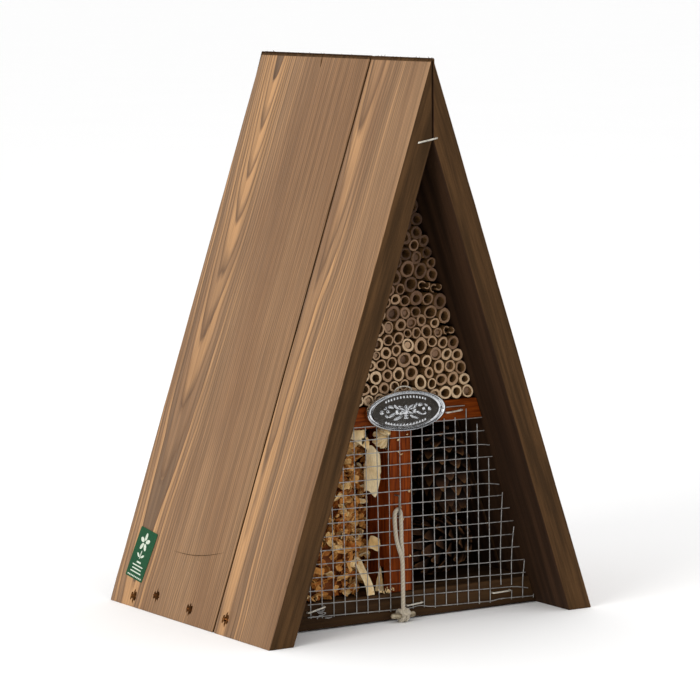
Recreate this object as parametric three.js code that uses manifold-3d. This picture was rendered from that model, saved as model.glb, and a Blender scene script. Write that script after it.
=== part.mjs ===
// An insect hotel: a steep gabled shelter of roof planks around a shelf of cut reeds, a compartment
// of wood shavings and a compartment of pine cones behind welded wire, with a cord loop and toggle
// hung on the divider. Millimetres, X across the front, Y from front to back, Z up.
// The origin is on the ground, in the middle of the width and of the depth.
import * as THREE from 'three';
import { mergeVertices } from 'three/addons/utils/BufferGeometryUtils.js';
import Module from 'manifold-3d';

// ---- driving dimensions -------------------------------------------------------------------------
const WIDTH = 178;          // across the feet of the two roof slopes
const DEPTH = 147;          // length of the roof planks' ends, front to back
const LEAN = 0.34;          // how far a roof face leans in for each millimetre of height
const BOARD = 12.5;         // thickness of a roof plank
const RIDGE_FLAT = 0.6;     // half width of the eased ridge
const FRONT_PLANK = 49.3;   // width of the narrow plank at the front of each slope
const PLANK_GAP = 1;        // open joint between the two planks of a slope
const RECESS = 26;          // how far the fronts of base, divider and shelf stand behind the gable
const FIT = 0.3;            // gap between pieces that touch
const CUT_PAST = 2;         // holes are cut this far out past the face they open in

const BASE_UNDERSIDE = 0.8; // the base board clears the ground by this much
const BASE = 12.2;          // thickness of the base board
const SHELF_UNDERSIDE = 90.9;
const SHELF = 9.7;          // thickness of the shelf board
const DIVIDER = 12.1;       // thickness of the divider board
const DIVIDER_X = -1.05;    // middle of the divider
const BACK = 9;             // thickness of the back panel
const BACK_TIP = 1;         // half width of the flat at the back panel's top

const REED = 6;             // outside width of a reed
const REED_BORE = 2.1;      // radius of a reed's bore
const REED_PITCH = 5.9;     // reeds of a row are pressed together
const REED_ROWS = 17;
const REED_STEP = 0.5;      // the rows' fronts stand one, two or three of these behind the face

const MESH_PITCH = 6.23;    // quarter-inch welded wire, cut and pulled to fit
const WIRE = 0.7;
const MESH_COLUMN = 41.8;   // one upright's place across the front, which sets all the others
const MESH_ROW = 4.85;      // height of the lowest level wire on the middle line
const MESH_SLANT = -0.033;  // rise of the level wires for each millimetre to the right
const MESH_LEAN = -0.011;   // shift of the uprights for each millimetre up
const LEAN_FROM = 45;       // height at which the uprights are in their own places
const MESH_LEFT = -53;      // the mesh is cut off here at the left
const MESH_MARGIN = 0.8;    // gap between the mesh and the roof

const STAPLE_WIRE = 0.6;
const CORD = 1.9;           // diameter of the cotton cord
const TOGGLE = 2.7;         // diameter of the toggle stick
const TOGGLE_LENGTH = 13.4;

// ---- values that follow from them ---------------------------------------------------------------
const ACROSS = BOARD * Math.hypot(1, LEAN);   // level width of a roof plank's cut end
const RIDGE = (WIDTH / 2 - RIDGE_FLAT) / LEAN;
const GABLE = -DEPTH / 2;                     // front ends of the roof planks
const REAR = DEPTH / 2;
const FACE = GABLE + RECESS;                  // fronts of base, divider and shelf
const BASE_TOP = BASE_UNDERSIDE + BASE;
const SHELF_TOP = SHELF_UNDERSIDE + SHELF;
const PANEL_FACE = REAR - BACK;               // inside face of the back panel
const MESH_BACK = FACE - FIT;
const MESH_FACE = MESH_BACK - WIRE;
const SLOPE_ANGLE = Math.atan(LEAN);
const inside = (z) => WIDTH / 2 - ACROSS - LEAN * z;   // half width between the roof's inner faces
const outside = (z) => WIDTH / 2 - LEAN * z;           // half width over the roof's outer faces

// ---- finishes -----------------------------------------------------------------------------------
const finish = (color, roughness, metalness = 0) =>
  new THREE.MeshStandardMaterial({ color, roughness, metalness });
const ROOF_WOOD = finish(0x9a7750, 0.75);
const DARK_WOOD = finish(0x4b3420, 0.8);
const STAINED_WOOD = finish(0x9c4d1c, 0.65);
const PLYWOOD = finish(0x6b4a2b, 0.8);
const REED_CANE = finish(0xc9a878, 0.7);
const GALVANISED = finish(0xa8a9a6, 0.45, 0.8);
const STEEL = finish(0xb4b4b0, 0.35, 0.9);
const RUST = finish(0x6e3b18, 0.8, 0.3);
const CHROME = finish(0xd6d8da, 0.12, 1);
const LABEL_GREEN = finish(0x1c5a35, 0.5);
const SHAVING = finish(0xd7a860, 0.85);
const CONE_BROWN = finish(0x6b4a2e, 0.85);
const COTTON = finish(0xcfc6b2, 0.9);
const STICK = finish(0xb9ad98, 0.75);

// ---- shapes -------------------------------------------------------------------------------------
const wasm = await Module();
wasm.setup();

function solid(geometry) {
  const bare = geometry.clone();
  bare.deleteAttribute('normal');
  bare.deleteAttribute('uv');
  const merged = mergeVertices(bare, 1e-4);
  return new wasm.Manifold(new wasm.Mesh({
    numProp: 3,
    vertProperties: merged.attributes.position.array,
    triVerts: new Uint32Array(merged.index.array),
  }));
}

function geometryOf(body) {
  const mesh = body.getMesh();
  const geometry = new THREE.BufferGeometry();
  geometry.setAttribute('position', new THREE.BufferAttribute(mesh.vertProperties, 3));
  geometry.setIndex(new THREE.BufferAttribute(mesh.triVerts, 1));
  geometry.computeVertexNormals();
  return geometry;
}

function join(geometries) {
  return geometryOf(geometries.map(solid).reduce((whole, piece) => whole.add(piece)));
}

function cut(geometry, cutters) {
  return geometryOf(cutters.map(solid).reduce((rest, cutter) => rest.subtract(cutter), solid(geometry)));
}

const outline = (points) => new THREE.Shape(points.map(([a, b]) => new THREE.Vector2(a, b)));

// A shape drawn in X and Z, run from one depth to another.
function prismAlongY(shape, from, to, curveSegments = 12) {
  const options = { depth: to - from, bevelEnabled: false, curveSegments };
  const geometry = new THREE.ExtrudeGeometry(shape, options);
  return geometry.rotateX(Math.PI / 2).translate(0, to, 0);
}

// A shape drawn in X and Y, run from one height to another.
function prismAlongZ(shape, from, to) {
  const geometry = new THREE.ExtrudeGeometry(shape, { depth: to - from, bevelEnabled: false });
  return geometry.translate(0, 0, from);
}

function block(x0, x1, y0, y1, z0, z1) {
  const geometry = new THREE.BoxGeometry(x1 - x0, y1 - y0, z1 - z0);
  return geometry.translate((x0 + x1) / 2, (y0 + y1) / 2, (z0 + z1) / 2);
}

// A board that fills the gable from side to side between two heights.
function gableBoard(z0, z1, y0, y1) {
  const [low, high] = [inside(z0) - FIT, inside(z1) - FIT];
  return prismAlongY(outline([[-low, z0], [low, z0], [high, z1], [-high, z1]]), y0, y1);
}

// ---- staples and nails --------------------------------------------------------------------------
// A U of square wire: the crown's outer face is at y = 0 and the legs run towards +Y.
// With a gap it is the hole the staple needs, and open lets that hole out through the face.
function stapleShape({ crown, legs, wire = STAPLE_WIRE }, gap = 0, open = 0) {
  const half = crown / 2 + gap;
  const slot = crown / 2 - wire - gap;
  const shape = outline([
    [-half, -gap - open], [half, -gap - open], [half, legs + gap], [slot, legs + gap],
    [slot, wire + gap], [-slot, wire + gap], [-slot, legs + gap], [-half, legs + gap],
  ]);
  const thick = wire + 2 * gap;
  return prismAlongZ(shape, -thick / 2, thick / 2);
}

const MESH_STAPLE_LEGS = 7;
const MESH_STAPLE_Y = MESH_FACE - FIT - STAPLE_WIRE;   // outer face of a crown pressed on the mesh
const LOOP_STAPLE_Y = MESH_FACE - FIT - CORD - FIT - STAPLE_WIRE;
const LOOP_STAPLE_X = -4.6;
const LOOP_STAPLE_CROWN = 9.5;
const LOOP_LEG_Z = 50.1;                               // lower leg, which the cord loop hangs on

const staples = {
  mesh_staple_left: { crown: 10, legs: MESH_STAPLE_LEGS, at: [-48.5, MESH_STAPLE_Y, 10.1], turn: -0.2,
    wood: ['base_board'] },
  mesh_staple_middle: { crown: 9.2, legs: MESH_STAPLE_LEGS, at: [5.4, MESH_STAPLE_Y, 7], turn: -0.08,
    wood: ['base_board'] },
  mesh_staple_right: { crown: 10.6, legs: MESH_STAPLE_LEGS, at: [54.7, MESH_STAPLE_Y, 7.4], turn: -0.03,
    wood: ['base_board'] },
  mesh_staple_shelf: { crown: 9.4, legs: MESH_STAPLE_LEGS, at: [28, MESH_STAPLE_Y, 95.4], turn: -0.08,
    wood: ['shelf_board'] },
  mesh_staple_divider: { crown: LOOP_STAPLE_CROWN, legs: MESH_STAPLE_LEGS + CORD + FIT,
    at: [LOOP_STAPLE_X, LOOP_STAPLE_Y, LOOP_LEG_Z + (LOOP_STAPLE_CROWN - STAPLE_WIRE) / 2],
    turn: Math.PI / 2, wood: ['divider_board'] },
};

const RIDGE_STAPLE = { crown: 11, legs: 7, wire: 0.7 };
const RIDGE_STAPLE_PROUD = 0.5;
const RIDGE_STAPLE_AT = [-2.8, 223.4];
const RIDGE_STAPLE_TURN = -0.17;

// The staples that hold the foot of each slope to the base board, sunk below the plank's face.
const FOOT_STAPLE = { crown: 5.2, legs: 24, wire: 0.9 };
const FOOT_STAPLE_SUNK = 0.9;
const FOOT_STAPLES = [[53.1, 4.6], [33, 7.9], [1.2, 6.4], [-31.2, 6.9]];   // [y, z] of each

const NAIL = { shank: 0.8, head: 1.7, headThick: 0.7, length: 24, point: 2, sunk: 0.15 };
const BACK_NAILS = [[-56, 7], [0, 7], [56, 7], [-31, 95.7], [31, 95.7]];   // [x, z] of each

// A round-headed nail whose head faces +Y at y = 0.
function nailShape(gap = 0, open = 0) {
  const { shank, head, headThick, length, point } = NAIL;
  const profile = [[0, open + gap], [head + gap, open + gap], [head + gap, -headThick - gap],
    [shank + gap, -headThick - gap], [shank + gap, point - length], [0, -length - gap]];
  const points = profile.map(([r, y]) => new THREE.Vector2(r, y)).reverse();
  return new THREE.LatheGeometry(points, 8);
}

// Where a staple or nail goes, as one transform for the piece and its hole.
function place(geometry, turnY, turnZ, [x, y, z]) {
  return geometry.rotateY(turnY).rotateZ(turnZ).translate(x, y, z);
}

const placeMeshStaple = (geometry, spec) => place(geometry, spec.turn, 0, spec.at);

function placeFootStaple(geometry, side, [y, z]) {
  const x = side * (outside(z) - FOOT_STAPLE_SUNK);
  return place(geometry, 0, side > 0 ? Math.PI / 2 : -Math.PI / 2, [x, y, z]);
}

function placeRidgeStaple(geometry, atFront) {
  const [x, z] = RIDGE_STAPLE_AT;
  const y = atFront ? GABLE - RIDGE_STAPLE_PROUD : REAR + RIDGE_STAPLE_PROUD;
  return place(geometry, RIDGE_STAPLE_TURN, atFront ? 0 : Math.PI, [x, y, z]);
}

const placeBackNail = (geometry, [x, z]) => geometry.translate(x, REAR - NAIL.sunk, z);

const footCutters = () => [-1, 1].flatMap((side) => FOOT_STAPLES.map((at) =>
  placeFootStaple(stapleShape(FOOT_STAPLE, FIT, CUT_PAST), side, at)));
const ridgeCutters = () => [true, false].map((atFront) =>
  placeRidgeStaple(stapleShape(RIDGE_STAPLE, FIT, CUT_PAST), atFront));
const nailCutters = () => BACK_NAILS.map((at) => placeBackNail(nailShape(FIT, CUT_PAST), at));
const meshStapleCutters = (board) => Object.values(staples)
  .filter((spec) => spec.wood.includes(board))
  .map((spec) => placeMeshStaple(stapleShape(spec, FIT), spec));

// ---- roof and boards ----------------------------------------------------------------------------
// One plank of a slope: cut level at the foot and on the middle plane at the ridge.
function roofPlank(side, y0, y1) {
  const middle = FIT / 2;
  const shape = outline([
    [outside(0), 0], [RIDGE_FLAT, RIDGE], [middle, RIDGE],
    [middle, (WIDTH / 2 - ACROSS - middle) / LEAN], [inside(0), 0],
  ].map(([x, z]) => [side * x, z]));
  return cut(prismAlongY(shape, y0, y1), [...footCutters(), ...ridgeCutters()]);
}

const baseBoard = () => cut(gableBoard(BASE_UNDERSIDE, BASE_TOP, FACE, PANEL_FACE - FIT),
  [...footCutters(), ...nailCutters(), ...meshStapleCutters('base_board')]);

const shelfBoard = () => cut(gableBoard(SHELF_UNDERSIDE, SHELF_TOP, FACE, PANEL_FACE - FIT),
  [...nailCutters(), ...meshStapleCutters('shelf_board')]);

const dividerBoard = () => cut(
  block(DIVIDER_X - DIVIDER / 2, DIVIDER_X + DIVIDER / 2, FACE, PANEL_FACE - FIT,
    BASE_TOP + FIT, SHELF_UNDERSIDE - FIT),
  meshStapleCutters('divider_board'));

function backPanel() {
  const top = (WIDTH / 2 - ACROSS - FIT - BACK_TIP) / LEAN;
  return cut(gableBoard(BASE_UNDERSIDE, top, PANEL_FACE, REAR), nailCutters());
}

// ---- reeds --------------------------------------------------------------------------------------
const rowHeight = (row) => SHELF_TOP + FIT + REED / 2 + row * (REED + FIT);
const reedsInRow = (row) => Math.floor(2 * (inside(rowHeight(row) + REED / 2) - FIT) / REED_PITCH);

// One row of reeds pressed side by side: six-sided tubes that run from the face to the back panel.
function reedRow(row) {
  const z = rowHeight(row);
  const count = reedsInRow(row);
  const across = REED / Math.sqrt(3);         // corner radius of a six-sided tube, flats to the sides
  const centre = (index) => (index - (count - 1) / 2) * REED_PITCH;
  const corners = (x, radius) => Array.from({ length: 6 }, (_, k) => {
    const angle = Math.PI / 6 + k * Math.PI / 3;
    return [x + radius * Math.cos(angle), z + radius * Math.sin(angle) * Math.sqrt(3) / 2];
  });
  const tube = (x) => {
    const shape = outline(corners(x, across));
    shape.holes.push(outline(corners(x, REED_BORE)));
    return prismAlongY(shape, FACE + (1 + row % 3) * REED_STEP, PANEL_FACE - FIT);
  };
  return join(Array.from({ length: count }, (_, index) => tube(centre(index))));
}

// ---- wire mesh ----------------------------------------------------------------------------------
const MESH_ROWS = 16;
const TOP_ROW_FROM = -15;   // the highest level wire only runs across the middle
const TOP_ROW_TO = 37;
const STUB = 1.6;           // cut wire ends past the last crossing

const levelAt = (row, x) => MESH_ROW + row * MESH_PITCH + MESH_SLANT * x;
const uprightAt = (index, z) => MESH_COLUMN + index * MESH_PITCH + MESH_LEAN * (z - LEAN_FROM);

// Where a level wire stops on one side, short of the roof.
function levelEnd(row, side) {
  const reach = inside(levelAt(row, 0)) - MESH_MARGIN;
  return side * reach / (1 + side * LEAN * MESH_SLANT);
}

// The ends of level wire "row", and the uprights that it crosses on the way.
function levelWire(row) {
  const top = row === MESH_ROWS - 1;
  const left = top ? TOP_ROW_FROM : Math.max(levelEnd(row, -1), MESH_LEFT);
  const right = top ? TOP_ROW_TO : levelEnd(row, 1);
  const first = Math.ceil((left + WIRE - uprightAt(0, levelAt(row, left))) / MESH_PITCH);
  const last = Math.floor((right - WIRE - uprightAt(0, levelAt(row, right))) / MESH_PITCH);
  return { left, right, first, last };
}

// A square wire from one point (x, z) of the mesh to another, cut off along "across".
function wireBetween([x0, z0], [x1, z1], [acrossX, acrossZ]) {
  const half = WIRE / 2;
  return prismAlongY(outline([
    [x0 - acrossX * half, z0 - acrossZ * half], [x1 - acrossX * half, z1 - acrossZ * half],
    [x1 + acrossX * half, z1 + acrossZ * half], [x0 + acrossX * half, z0 + acrossZ * half],
  ]), MESH_FACE, MESH_BACK);
}

function wireMesh() {
  const tops = new Map();
  const wires = [];
  for (let row = 0; row < MESH_ROWS; row += 1) {
    const { left, right, first, last } = levelWire(row);
    const from = Math.max(left, uprightAt(first, levelAt(row, left)) - STUB);
    const to = Math.min(right, uprightAt(last, levelAt(row, right)) + STUB);
    wires.push(wireBetween([from, levelAt(row, from)], [to, levelAt(row, to)], [0, 1]));
    for (let index = first; index <= last; index += 1) tops.set(index, row);
  }
  for (const [index, row] of tops) {
    const x = uprightAt(index, LEAN_FROM);
    const [low, high] = [levelAt(0, x) - STUB, levelAt(row, x) + STUB / 2];
    wires.push(wireBetween([uprightAt(index, low), low], [uprightAt(index, high), high], [1, 0]));
  }
  return join(wires);
}

// ---- plaque and label ---------------------------------------------------------------------------
const PLAQUE = { x: 0.3, z: 98, halfWide: 21.8, halfHigh: 9.3, plate: 1, rim: 1, rimWide: 1.5 };
const PLAQUE_BACK = MESH_FACE - FIT;
const LOOP_TAB = { x: -0.3, hidden: 1.2, halfWide: 5.2, rise: 3.4, wide: 0.9, thick: 0.4 };

function ellipse(x, z, a, b) {
  return new THREE.Shape().absellipse(x, z, a, b, 0, 2 * Math.PI, false, 0);
}

function plaque() {
  const { x, z, halfWide, halfHigh, plate, rim, rimWide } = PLAQUE;
  const ring = ellipse(x, z, halfWide, halfHigh);
  ring.holes.push(ellipse(x, z, halfWide - rimWide, halfHigh - rimWide));
  const front = PLAQUE_BACK - plate;
  return join([
    prismAlongY(ellipse(x, z, halfWide, halfHigh), front, PLAQUE_BACK, 16),
    prismAlongY(ring, front - rim, front, 16),
  ]);
}

// The flat wire loop that shows above the plaque.
function plaqueLoop() {
  const { x, hidden, halfWide, rise, wide, thick } = LOOP_TAB;
  const foot = PLAQUE.z + PLAQUE.halfHigh - hidden;
  const arch = new THREE.Shape().absellipse(x, foot, halfWide, rise, 0, Math.PI, false, 0);
  arch.absellipse(x, foot, halfWide - wide, rise - wide, Math.PI, 0, true, 0);
  return prismAlongY(arch, PLAQUE_BACK + FIT, PLAQUE_BACK + FIT + thick, 8);
}

const LABEL = { y: 55.7, height: 25.1, wide: 16.7, long: 24.4, turn: 0.118, thick: 0.3, gap: 0.1 };

// A paper label lying on the left slope, turned a little; its height is measured up the slope.
function label() {
  const { y, height, wide, long, turn, thick, gap } = LABEL;
  const geometry = new THREE.BoxGeometry(thick, wide, long).rotateX(turn);
  geometry.translate(-gap - thick / 2, y, height);
  return geometry.rotateY(SLOPE_ANGLE).translate(-outside(0), 0, 0);
}

// ---- fillings -----------------------------------------------------------------------------------
// The shavings fall back by the divider over a corner this wide and deep.
const SHAVINGS = { setBack: 2, cornerWide: 21, cornerDeep: 18, rearGap: 3 };

// The shavings' outer form: a block that fills the left compartment.
function shavings() {
  const { setBack, cornerWide, cornerDeep, rearGap } = SHAVINGS;
  const right = DIVIDER_X - DIVIDER / 2 - FIT;
  const low = BASE_TOP + FIT;
  const high = SHELF_UNDERSIDE - FIT;
  const left = (z) => -inside(z) + 2 * FIT;
  const front = FACE + setBack;
  const rear = PANEL_FACE - rearGap;
  const section = outline([[left(low), low], [right, low], [right, high], [left(high), high]]);
  const plan = outline([[left(low), front], [right - cornerWide, front], [right, front + cornerDeep],
    [right, rear], [left(low), rear]]);
  return geometryOf(solid(prismAlongY(section, front, rear)).intersect(solid(prismAlongZ(plan, low, high))));
}

// Shares of a pine cone's widest radius (foot, behind a scale) and of its length (half a scale's lip).
const CONE = { rings: 6, foot: 0.35, behindScale: 0.82, halfLip: 0.03 };
const coneGirth = (height) => Math.sin(Math.PI * height ** 0.75) ** 0.7;

// A closed pine cone standing on its stalk, with its scales as rings of teeth.
function pineCone(length, radius) {
  const profile = [new THREE.Vector2(0, 0), new THREE.Vector2(radius * CONE.foot, 0)];
  for (let ring = 1; ring < CONE.rings; ring += 1) {
    const height = ring / CONE.rings;
    const girth = radius * coneGirth(height);
    profile.push(new THREE.Vector2(girth, length * (height - CONE.halfLip)));
    profile.push(new THREE.Vector2(girth * CONE.behindScale, length * (height + CONE.halfLip)));
  }
  profile.push(new THREE.Vector2(0, length));
  return new THREE.LatheGeometry(profile, 10);
}

// Radius, stalk end and tip of each cone.
const CONES = [
  { radius: 14.3, stalk: [48, FACE + 19, 31], tip: [9, FACE + 16.5, 28.5] },
  { radius: 13.2, stalk: [33, FACE + 20, 86], tip: [39, FACE + 18, 47] },
  { radius: 14, stalk: [41, FACE + 52, 58.5], tip: [9, FACE + 48, 57.6] },
  { radius: 14, stalk: [12, FACE + 52, 28], tip: [52, FACE + 56, 28.6] },
];

function placeCone(mesh, stalk, tip) {
  const [from, to] = [new THREE.Vector3(...stalk), new THREE.Vector3(...tip)];
  mesh.quaternion.setFromUnitVectors(new THREE.Vector3(0, 1, 0), to.clone().sub(from).normalize());
  mesh.position.copy(from);
}

// ---- cord and toggle ----------------------------------------------------------------------------
const KNOT = { x: -3.8, radius: 2.9, wide: 5.6 };
const TOGGLE_Y = MESH_STAPLE_Y - FIT - KNOT.radius;
const TOGGLE_Z = 3.3;
const LOOP_Y = MESH_FACE - FIT - CORD / 2;

// The cord's middle line, from the knot up the front strand, over the staple's leg and down again
// behind it.
const cordRoute = [
  [-4.55, TOGGLE_Y - 1.15, 6.9], [-4.53, TOGGLE_Y - 1.15, 12], [-4.45, TOGGLE_Y - 0.95, 18],
  [-4.1, TOGGLE_Y - 0.25, 25], [-3.87, LOOP_Y - 2.3, 29.3], [-4.6, LOOP_Y - 1.2, 33.7],
  [-5.5, LOOP_Y - 0.4, 38], [-5.95, LOOP_Y - 0.1, 42.5], [-6.25, LOOP_Y, 47], [-6.2, LOOP_Y, 50.2],
  [-5.6, LOOP_Y, 51.7], [-4.6, LOOP_Y, 52.3], [-3.6, LOOP_Y, 51.7], [-3, LOOP_Y, 50.2],
  [-2.85, LOOP_Y, 47], [-2.7, LOOP_Y, 42.5], [-2.75, LOOP_Y - 0.1, 38], [-2.55, LOOP_Y - 0.3, 33.7],
  [-2.6, LOOP_Y - 0.6, 29.3], [-3, LOOP_Y - 1.4, 25], [-3.36, TOGGLE_Y + 0.75, 18],
  [-3.41, TOGGLE_Y + 0.6, 12], [-3.4, TOGGLE_Y + 0.6, 6.9],
];

function cordLoop() {
  const path = new THREE.CatmullRomCurve3(cordRoute.map((point) => new THREE.Vector3(...point)));
  const section = outline(Array.from({ length: 8 }, (_, k) => {
    const angle = Math.PI / 8 + k * Math.PI / 4;
    return [CORD / 2 * Math.cos(angle), CORD / 2 * Math.sin(angle)];
  }));
  return new THREE.ExtrudeGeometry(section, { steps: 36, bevelEnabled: false, extrudePath: path });
}

// The knot's outer form: a sleeve round the toggle.
function cordKnot() {
  const ring = new THREE.Shape().absarc(0, 0, KNOT.radius, 0, 2 * Math.PI, false);
  ring.holes.push(new THREE.Shape().absarc(0, 0, TOGGLE / 2 + FIT, 0, 2 * Math.PI, false));
  const options = { depth: KNOT.wide, bevelEnabled: false, curveSegments: 6 };
  const geometry = new THREE.ExtrudeGeometry(ring, options);
  return geometry.rotateY(Math.PI / 2).translate(KNOT.x - KNOT.wide / 2, TOGGLE_Y, TOGGLE_Z);
}

function toggleStick() {
  const geometry = new THREE.CylinderGeometry(TOGGLE / 2, TOGGLE / 2, TOGGLE_LENGTH, 10);
  return geometry.rotateZ(Math.PI / 2).translate(KNOT.x, TOGGLE_Y, TOGGLE_Z);
}

// ---- assembly -----------------------------------------------------------------------------------
const hotel = new THREE.Group();

function add(name, geometry, material) {
  const mesh = new THREE.Mesh(geometry, material);
  mesh.name = name;
  hotel.add(mesh);
  return mesh;
}

const frontPlankEnd = GABLE + FRONT_PLANK;
for (const [side, word] of [[-1, 'left'], [1, 'right']]) {
  add(`roof_plank_${word}_front`, roofPlank(side, GABLE, frontPlankEnd), ROOF_WOOD);
  add(`roof_plank_${word}_back`, roofPlank(side, frontPlankEnd + PLANK_GAP, REAR), ROOF_WOOD);
  FOOT_STAPLES.forEach((at, index) => {
    add(`foot_staple_${word}_${index + 1}`, placeFootStaple(stapleShape(FOOT_STAPLE), side, at), RUST);
  });
}
add('base_board', baseBoard(), DARK_WOOD);
add('divider_board', dividerBoard(), STAINED_WOOD);
add('shelf_board', shelfBoard(), STAINED_WOOD);
add('back_panel', backPanel(), PLYWOOD);
BACK_NAILS.forEach((at, index) => {
  add(`back_nail_${index + 1}`, placeBackNail(nailShape(), at), STEEL);
});
add('ridge_staple_front', placeRidgeStaple(stapleShape(RIDGE_STAPLE), true), STEEL);
add('ridge_staple_back', placeRidgeStaple(stapleShape(RIDGE_STAPLE), false), STEEL);

add('wire_mesh', wireMesh(), GALVANISED);
for (const [name, spec] of Object.entries(staples)) {
  add(name, placeMeshStaple(stapleShape(spec), spec), STEEL);
}
add('oval_plaque', plaque(), CHROME);
add('plaque_loop', plaqueLoop(), CHROME);
add('green_label', label(), LABEL_GREEN);

for (let row = 0; row < REED_ROWS; row += 1) {
  add(`reed_row_${String(row + 1).padStart(2, '0')}`, reedRow(row), REED_CANE);
}
add('wood_shavings', shavings(), SHAVING);
CONES.forEach(({ radius, stalk, tip }, index) => {
  const length = new THREE.Vector3(...stalk).distanceTo(new THREE.Vector3(...tip));
  placeCone(add(`pine_cone_${index + 1}`, pineCone(length, radius), CONE_BROWN), stalk, tip);
});

add('cord_loop', cordLoop(), COTTON);
add('cord_knot', cordKnot(), COTTON);
add('toggle_stick', toggleStick(), STICK);

export default hotel;
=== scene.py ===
"""The looks of an insect hotel: oiled pine roof planks round cut reeds, wood shavings and pine cones
behind welded wire, with an oval plaque and a cord loop that hangs on the divider.
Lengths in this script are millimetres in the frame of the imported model, unless a name ends in _M."""
import math
import random

import bmesh
import bpy
import numpy as np
from mathutils import Matrix, Quaternion, Vector, noise


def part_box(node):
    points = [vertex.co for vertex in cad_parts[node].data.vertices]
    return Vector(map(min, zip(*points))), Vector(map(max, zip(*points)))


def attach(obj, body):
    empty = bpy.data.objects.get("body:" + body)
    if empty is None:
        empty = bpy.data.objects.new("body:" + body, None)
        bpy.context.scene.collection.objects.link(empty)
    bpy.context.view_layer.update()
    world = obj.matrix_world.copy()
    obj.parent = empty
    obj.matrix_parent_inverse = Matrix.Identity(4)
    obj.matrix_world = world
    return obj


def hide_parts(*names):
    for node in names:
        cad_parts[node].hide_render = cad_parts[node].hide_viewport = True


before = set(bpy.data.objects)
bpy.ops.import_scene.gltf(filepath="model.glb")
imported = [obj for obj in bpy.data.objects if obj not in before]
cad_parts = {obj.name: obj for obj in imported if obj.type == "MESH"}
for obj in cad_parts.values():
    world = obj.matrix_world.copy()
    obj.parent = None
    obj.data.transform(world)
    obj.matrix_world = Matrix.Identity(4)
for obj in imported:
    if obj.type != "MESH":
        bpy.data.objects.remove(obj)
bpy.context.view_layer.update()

MM = 0.001
TAU = 2 * math.pi
NOISE_SEED = 1                                # zero would mean the clock
noise.seed_set(NOISE_SEED)


def box(node):
    """Lowest and highest corner of a CAD node in millimetres."""
    low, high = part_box(node)
    return low / MM, high / MM


# ---- dimensions that come from the frame ---------------------------------------------------------
PLANK_LOW, PLANK_HIGH = box("roof_plank_left_front")
HALF_WIDTH = -PLANK_LOW.x
RIDGE = PLANK_HIGH.z
GABLE = PLANK_LOW.y
REAR = box("roof_plank_left_back")[1].y
LEAN = 0.34                                   # the roof leans in this much for each unit of height
SLOPE_ANGLE = math.atan(LEAN)
BOARD = 12.5
ACROSS = BOARD * math.hypot(1, LEAN)
BASE_LOW, BASE_HIGH = box("base_board")
SHELF_LOW, SHELF_HIGH = box("shelf_board")
DIVIDER_LOW, DIVIDER_HIGH = box("divider_board")
FACE = BASE_LOW.y                             # fronts of base, divider and shelf
PANEL_FACE = box("back_panel")[0].y
MESH_LOW, MESH_HIGH = box("wire_mesh")
LOOP_STAPLE_LOW, LOOP_STAPLE_HIGH = box("mesh_staple_divider")
KNOT_LOW, KNOT_HIGH = box("cord_knot")
STICK_LOW, STICK_HIGH = box("toggle_stick")


def inside(z):
    """Half width between the roof's inner faces."""
    return HALF_WIDTH - ACROSS - LEAN * z


def outside(z):
    """Half width over the roof's outer faces."""
    return HALF_WIDTH - LEAN * z


# ---- camera --------------------------------------------------------------------------------------
CAMERA_PLACE = Vector((-865.1, -1354.9, 310.2))
CAMERA_AIM = Vector((1.33, -0.70, 121.34))
CAMERA_ROLL = math.radians(-0.429)
SENSOR = 36
LENS = 176.63


def make_camera():
    data = bpy.data.cameras.new("camera")
    data.sensor_width = SENSOR
    data.lens = LENS
    camera = put_in_scene("camera", data)
    camera.location = CAMERA_PLACE * MM
    camera.rotation_mode = "QUATERNION"
    aim = (CAMERA_AIM - CAMERA_PLACE).to_track_quat("-Z", "Y")
    camera.rotation_quaternion = aim @ Quaternion((0, 0, 1), CAMERA_ROLL)
    bpy.context.scene.camera = camera


# ---- shapes --------------------------------------------------------------------------------------
def put_in_scene(name, data):
    """A new object that holds this data."""
    obj = bpy.data.objects.new(name, data)
    bpy.context.scene.collection.objects.link(obj)
    return obj


class Shape:
    """Vertices, faces and a tone per vertex, gathered part by part."""

    def __init__(self):
        self.points, self.faces, self.tones = [], [], []
        self.count = 0

    def add(self, points, faces, tone=0.5):
        points = np.asarray(points, float).reshape(-1, 3)
        self.faces += [tuple(self.count + i for i in face) for face in faces]
        self.points.append(points)
        self.tones.append(np.broadcast_to(tone, len(points)))
        self.count += len(points)

    def mesh(self, name):
        mesh = bpy.data.meshes.new(name)
        mesh.from_pydata((np.concatenate(self.points) * MM).tolist(), [], self.faces)
        tone = mesh.attributes.new("tone", "FLOAT", "POINT")
        tone.data.foreach_set("value", np.concatenate(self.tones).astype(np.float32))
        return mesh


def grid_faces(rows, columns, wrap=False):
    """Quads of a grid of points; wrap joins the last column to the first."""
    faces = []
    for i in range(rows - 1):
        for j in range(columns if wrap else columns - 1):
            a = i * columns + j
            b = i * columns + (j + 1) % columns
            faces.append((a, b, b + columns, a + columns))
    return faces


def closed_grid(rows, columns):
    """Faces of a grid wrapped round into a rod, with one more over each end."""
    last = (rows - 1) * columns
    ends = [tuple(range(columns))[::-1], tuple(last + k for k in range(columns))]
    return grid_faces(rows, columns, wrap=True) + ends


def frames_along(path):
    """Tangent and two cross directions at each point of a path, without twist."""
    tangent = np.gradient(path, axis=0)
    tangent /= np.linalg.norm(tangent, axis=1)[:, None]
    side = np.cross(tangent[0], [0.0, 0, 1] if abs(tangent[0][2]) < 0.9 else [0.0, 1, 0])
    sides = []
    for direction in tangent:
        side = side - direction * (side @ direction)
        side /= np.linalg.norm(side)
        sides.append(side)
    sides = np.array(sides)
    return tangent, sides, np.cross(tangent, sides)


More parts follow.
